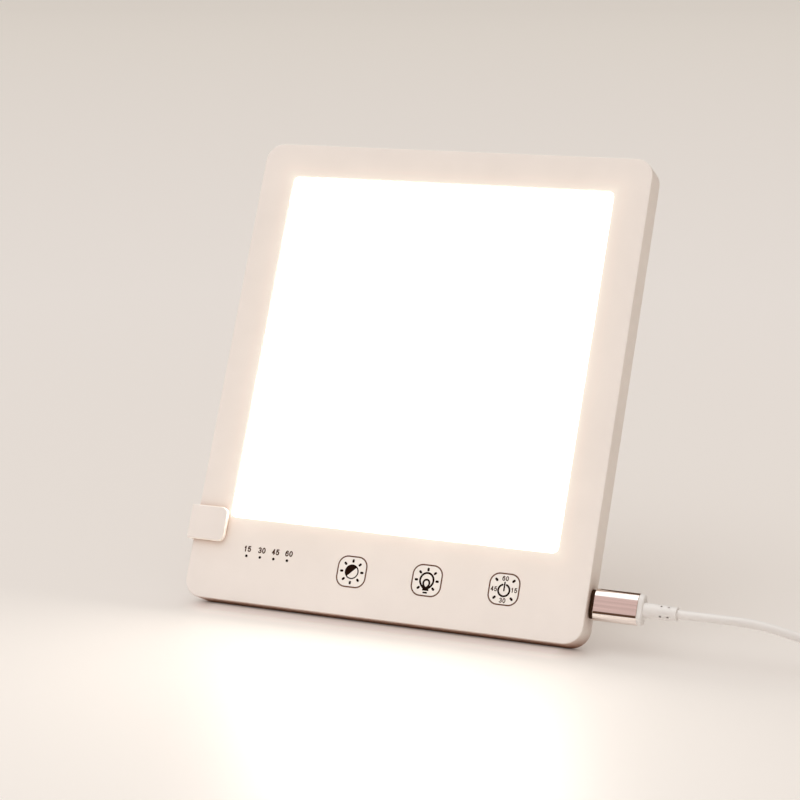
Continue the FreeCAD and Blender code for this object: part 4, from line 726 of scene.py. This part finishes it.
class Print:
    """Thin closed solids that lie on the face, drawn in millimetres about a middle."""

    def __init__(self, name, middle, rise):
        self.name = name
        self.middle = middle
        self.rise = rise
        self.mesh = bmesh.new()

    def vertex(self, point, height):
        x, y = point
        place = Vector((self.middle.x + x * MM, self.middle.y + y * MM, height))
        return self.mesh.verts.new(FACE @ place)

    def walls(self, low, high):
        """Faces between two rows of vertices that each close on themselves."""
        count = len(low)
        for i in range(count):
            j = (i + 1) % count
            self.mesh.faces.new((low[i], low[j], high[j], high[i]))

    def fill(self, outline):
        """A plate inside a counter-clockwise outline."""
        low = [self.vertex(p, -SUNK) for p in outline]
        high = [self.vertex(p, self.rise) for p in outline]
        self.mesh.faces.new(reversed(low))
        self.mesh.faces.new(high)
        self.walls(low, high)

    def ring(self, middle_line, width):
        """A closed band along a counter-clockwise line."""
        outer, inner = offset(middle_line, width / 2), offset(middle_line, -width / 2)
        rows = [
            [self.vertex(p, height) for p in outline]
            for outline, height in (
                (outer, -SUNK), (outer, self.rise), (inner, self.rise), (inner, -SUNK)
            )
        ]
        for row, following in zip(rows, rows[1:] + rows[:1]):
            self.walls(row, following)

    def dash(self, radius, angle, length, width):
        """A short ray, radius away from the middle."""
        a = math.radians(angle)
        ends = [
            ((radius + s) * math.cos(a), (radius + s) * math.sin(a))
            for s in ((width - length) / 2, (length - width) / 2)
        ]
        self.fill(stroke(ends, width))

    def figures(self, digits, x, y, height):
        """Plain figures of a given height about a place."""
        pen = height * FIGURE_PEN
        half_width, half_height = (height * FIGURE_WIDTH - pen) / 2, (height - pen) / 2
        for index, digit in enumerate(digits):
            middle = x + height * FIGURE_PITCH * (index - (len(digits) - 1) / 2)
            closed, opened = DIGITS[digit]
            for line in closed:
                self.ring(placed(line, middle, y, half_width, half_height), pen)
            for line in opened:
                self.fill(stroke(placed(line, middle, y, half_width, half_height), pen))

    def finish(self, material, slot=None):
        """Makes the piece with its material. The slot argument is not used."""
        mesh = bpy.data.meshes.new(self.name)
        bmesh.ops.recalc_face_normals(self.mesh, faces=self.mesh.faces)
        self.mesh.to_mesh(mesh)
        self.mesh.free()
        mesh.materials.append(MATERIALS[material])
        piece = add_object(self.name, mesh)
        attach(piece, "lamp")


# ---------------------------------------------------------------- the keys
# Millimetres and degrees about each key's middle, from here to the timer's rims.
KEY_HALF = 6.2
KEY_CORNER = 4.0
KEY_LINE = 0.55
# Rays stand an eighth of a turn apart. A ray is its length and width.
RAY_TURN = 45
RAY_RADIUS = 4.45
RAY = (1.5, 0.95)

DISC_RADIUS = 2.75
DISC_LINE = 0.5
DISC_DARK = (45, 225)

BULB = dict(top=3.05, foot=-3.5, half_width=2.85, shoulder=0.0)
BULB_LINE = 0.80
FILAMENT = dict(top=0.35, foot=-3.0, half_width=1.3, shoulder=-1.1)
FILAMENT_LINE = 0.75
# How a bulb's sides run in to its foot: the smaller, the fuller.
BULB_TAPER = 0.68
BULB_CAP = ((-1.4, -4.15), (1.4, -4.15), (1.2, -3.05), (-1.2, -3.05))
BULB_TIP = ((-0.65, -4.9), (0.65, -4.9))
BULB_TIP_LINE = 0.7
# All rays but the lowest, where the bulb's cap is.
BULB_RAYS = range(-1, 6)
# How far above the middles of their pads the colour and power signs are printed, in metres.
COLOUR_SHIFT = Vector((0, 0.15 * MM))
POWER_SHIFT = Vector((0, 0.40 * MM))

# The power mark's middle is below the key's, and its ring is open at the top by twice the gap.
POWER_MIDDLE = -0.45
POWER_RADIUS = 2.35
POWER_LINE = 0.75
POWER_GAP = 21
POWER_BAR = (-0.1, 3.2)
POWER_BAR_LINE = 0.6
POWER_RAY_RADIUS = 5.05
POWER_RAY = (1.6, 0.95)
POWER_RAY_ANGLES = (45, 135, 225, 315)
KEY_MINUTES = (("60", 0, 4.3), ("30", 0, -4.45), ("15", 4.15, 0), ("45", -4.2, -0.2))
KEY_MINUTES_HEIGHT = 2.0


def draw_key(name, middle):
    """The key's pale field and thin outline, and a print for its sign."""
    outline = squircle(KEY_HALF, KEY_CORNER)
    field = Print(f"key_field_{name}", middle, FIELD_RISE)
    field.fill(outline)
    field.finish("sign_field")
    border = Print(f"key_outline_{name}", middle, INK_RISE)
    border.ring(outline, KEY_LINE)
    border.finish("sign_outline")
    return Print(f"key_sign_{name}", middle, INK_RISE)


def draw_dimmer_key(middle):
    """A half-dark disc with eight rays."""
    sign = draw_key("dimmer", middle)
    sign.ring(arc(0, 0, DISC_RADIUS, 0, 360)[:-1], DISC_LINE)
    sign.fill(arc(0, 0, DISC_RADIUS, *DISC_DARK))
    for step in range(8):
        sign.dash(RAY_RADIUS, step * RAY_TURN, *RAY)
    sign.finish(INK)


def bulb_line(top, foot, half_width, shoulder):
    """One closed bulb shape: a round head that narrows to its foot."""
    head = bow(0, shoulder, half_width, top - shoulder, 0, 180)
    left = []
    for i in range(1, BOW_STEPS):
        s = i / BOW_STEPS
        ease = math.cos(s * math.pi / 2) ** BULB_TAPER
        left.append((-half_width * ease, shoulder + (foot - shoulder) * s))
    right = [(-x, y) for x, y in reversed(left)]
    return head + left + [(0, foot)] + right


def draw_colour_key(middle):
    """A bulb with its filament and seven rays."""
    sign = draw_key("colour", middle)
    sign.ring(bulb_line(**BULB), BULB_LINE)
    sign.ring(bulb_line(**FILAMENT), FILAMENT_LINE)
    sign.fill(BULB_CAP)
    sign.fill(stroke(BULB_TIP, BULB_TIP_LINE))
    for step in BULB_RAYS:
        sign.dash(RAY_RADIUS, step * RAY_TURN, *RAY)
    sign.finish(INK)


def draw_power_key(middle):
    """A power mark ringed by minutes."""
    sign = draw_key("power", middle)
    ring = arc(0, POWER_MIDDLE, POWER_RADIUS, 90 + POWER_GAP, 450 - POWER_GAP)
    sign.fill(stroke(ring, POWER_LINE))
    sign.fill(stroke([(0, POWER_MIDDLE + end) for end in POWER_BAR], POWER_BAR_LINE))
    for angle in POWER_RAY_ANGLES:
        sign.dash(POWER_RAY_RADIUS, angle, *POWER_RAY)
    sign.finish(INK)
    minutes = Print("key_minutes_power", middle, INK_RISE)
    for digits, x, y in KEY_MINUTES:
        minutes.figures(digits, x, y, KEY_MINUTES_HEIGHT)
    minutes.finish("figure_ink", INK)


# ---------------------------------------------------------------- the timer
# The minutes, and how far right of their light each stands.
TIMER_MINUTES = (("15", -0.05), ("30", 0.4), ("45", 0.5), ("60", 0.4))
# The figures' height, and how far above the lights their middle is.
FIGURE_HEIGHT = 2.45
FIGURE_RISE = 2.95
# The printed ring that rims each light pipe.
RIM_RADIUS = 0.48
RIM_LINE = 0.16
# A timer LED's width, in metres.
LED_WIDTH = 1.0 * MM


def draw_timer_figures():
    """The minutes, each above its own timer light, and a rim about the light."""
    low, high = extent("timer_leds", ACROSS)
    middle = Vector((0, on_face("timer_leds").y))
    pitch = (high - low - LED_WIDTH) / (len(TIMER_MINUTES) - 1)
    figures = Print("timer_figures", middle, INK_RISE)
    rims = Print("timer_rims", middle, INK_RISE)
    for index, (minutes, shift) in enumerate(TIMER_MINUTES):
        x = (low + LED_WIDTH / 2 + pitch * index - PANEL_MIDDLE) / MM
        figures.figures(minutes, x + shift, FIGURE_RISE, FIGURE_HEIGHT)
        rims.ring(arc(x, 0, RIM_RADIUS, 0, 360)[:-1], RIM_LINE)
    figures.finish("figure_ink", INK)
    rims.finish(INK)


# ---------------------------------------------------------------- cord
CORD_GAUGE = 3.6 * MM
# The route's points, from the strain relief to the front of the coil.
CORD_EXIT = Vector((0.1221, -0.04108018, 0.01834032))
CORD_ROUTE = [
    CORD_EXIT,
    Vector((0.1360, CORD_EXIT.y, CORD_EXIT.z)),
    Vector((0.1530, -0.0407, 0.0183)),
    Vector((0.1710, -0.0400, 0.0144)),
    Vector((0.1880, -0.0391, 0.0094)),
    Vector((0.2020, -0.0378, 0.0053)),
    Vector((0.2130, -0.0363, 0.0027)),
    Vector((0.2230, -0.03475, 0.0019)),
]
# The coil's two layers: the radius at the middle of a layer's turns, how far its turns spread to
# each side of that, and the rise from the lower layer to the upper one over part of a turn.
COIL_TURNS = 9.5
COIL_MIDDLE = 21.6 * MM
COIL_SPREAD = CORD_GAUGE * COIL_TURNS / 4
COIL_CENTRE = CORD_ROUTE[-1] + Vector((0, COIL_MIDDLE + COIL_SPREAD, 0))
LAYER_RISE = 3.4 * MM
CLIMB_TURNS = 0.4
POINTS_PER_TURN = 16
# Where the cord goes into the far plug's strain relief.
FAR_POINT = COIL_CENTRE + Vector((-20.0 * MM, 32.15 * MM, 2.0 * MM))


def coil_points():
    """The lower layer winds inwards from the coil's front, the upper one back outwards."""
    count = round(COIL_TURNS * POINTS_PER_TURN)
    points = []
    for index in range(1, count):
        turn = COIL_TURNS * index / count
        from_middle = abs(turn - COIL_TURNS / 2)
        radius = COIL_MIDDLE - COIL_SPREAD + CORD_GAUGE * from_middle
        climb = min(1.0, max(0.0, (turn - COIL_TURNS / 2) / CLIMB_TURNS + 0.5))
        angle = math.tau * turn - math.pi / 2
        points.append(COIL_CENTRE + Vector((
            radius * math.cos(angle), radius * math.sin(angle), LAYER_RISE * climb,
        )))
    return points


def make_cord():
    """One smooth curve from the plug's strain relief through the coil to the far plug."""
    back = COIL_CENTRE + Vector((0, COIL_MIDDLE + COIL_SPREAD, LAYER_RISE))
    halfway = Vector(((back.x + FAR_POINT.x) / 2, FAR_POINT.y, FAR_POINT.z))
    points = [*CORD_ROUTE, *coil_points(), back, halfway, FAR_POINT]
    curve = bpy.data.curves.new("cord", "CURVE")
    curve.dimensions = "3D"
    curve.bevel_depth = CORD_GAUGE / 2
    curve.bevel_resolution = 6
    curve.resolution_u = 8
    curve.use_fill_caps = True
    spline = curve.splines.new("NURBS")
    spline.points.add(len(points) - 1)
    for point, place in zip(spline.points, points):
        point.co = (*place, 1.0)
    spline.order_u = 3
    spline.use_endpoint_u = True
    curve.materials.append(MATERIALS["cord_white"])
    cord = add_object("cord", curve)
    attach(cord, "cable")
    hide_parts("cord_tube", "cord_coil", "cord_tail")


make_camera()
make_cord()
make_stage()
dress_nodes()
draw_dimmer_key(on_face("touch_pad_dimmer"))
draw_colour_key(on_face("touch_pad_colour") + COLOUR_SHIFT)
draw_power_key(on_face("touch_pad_power") + POWER_SHIFT)
draw_timer_figures()
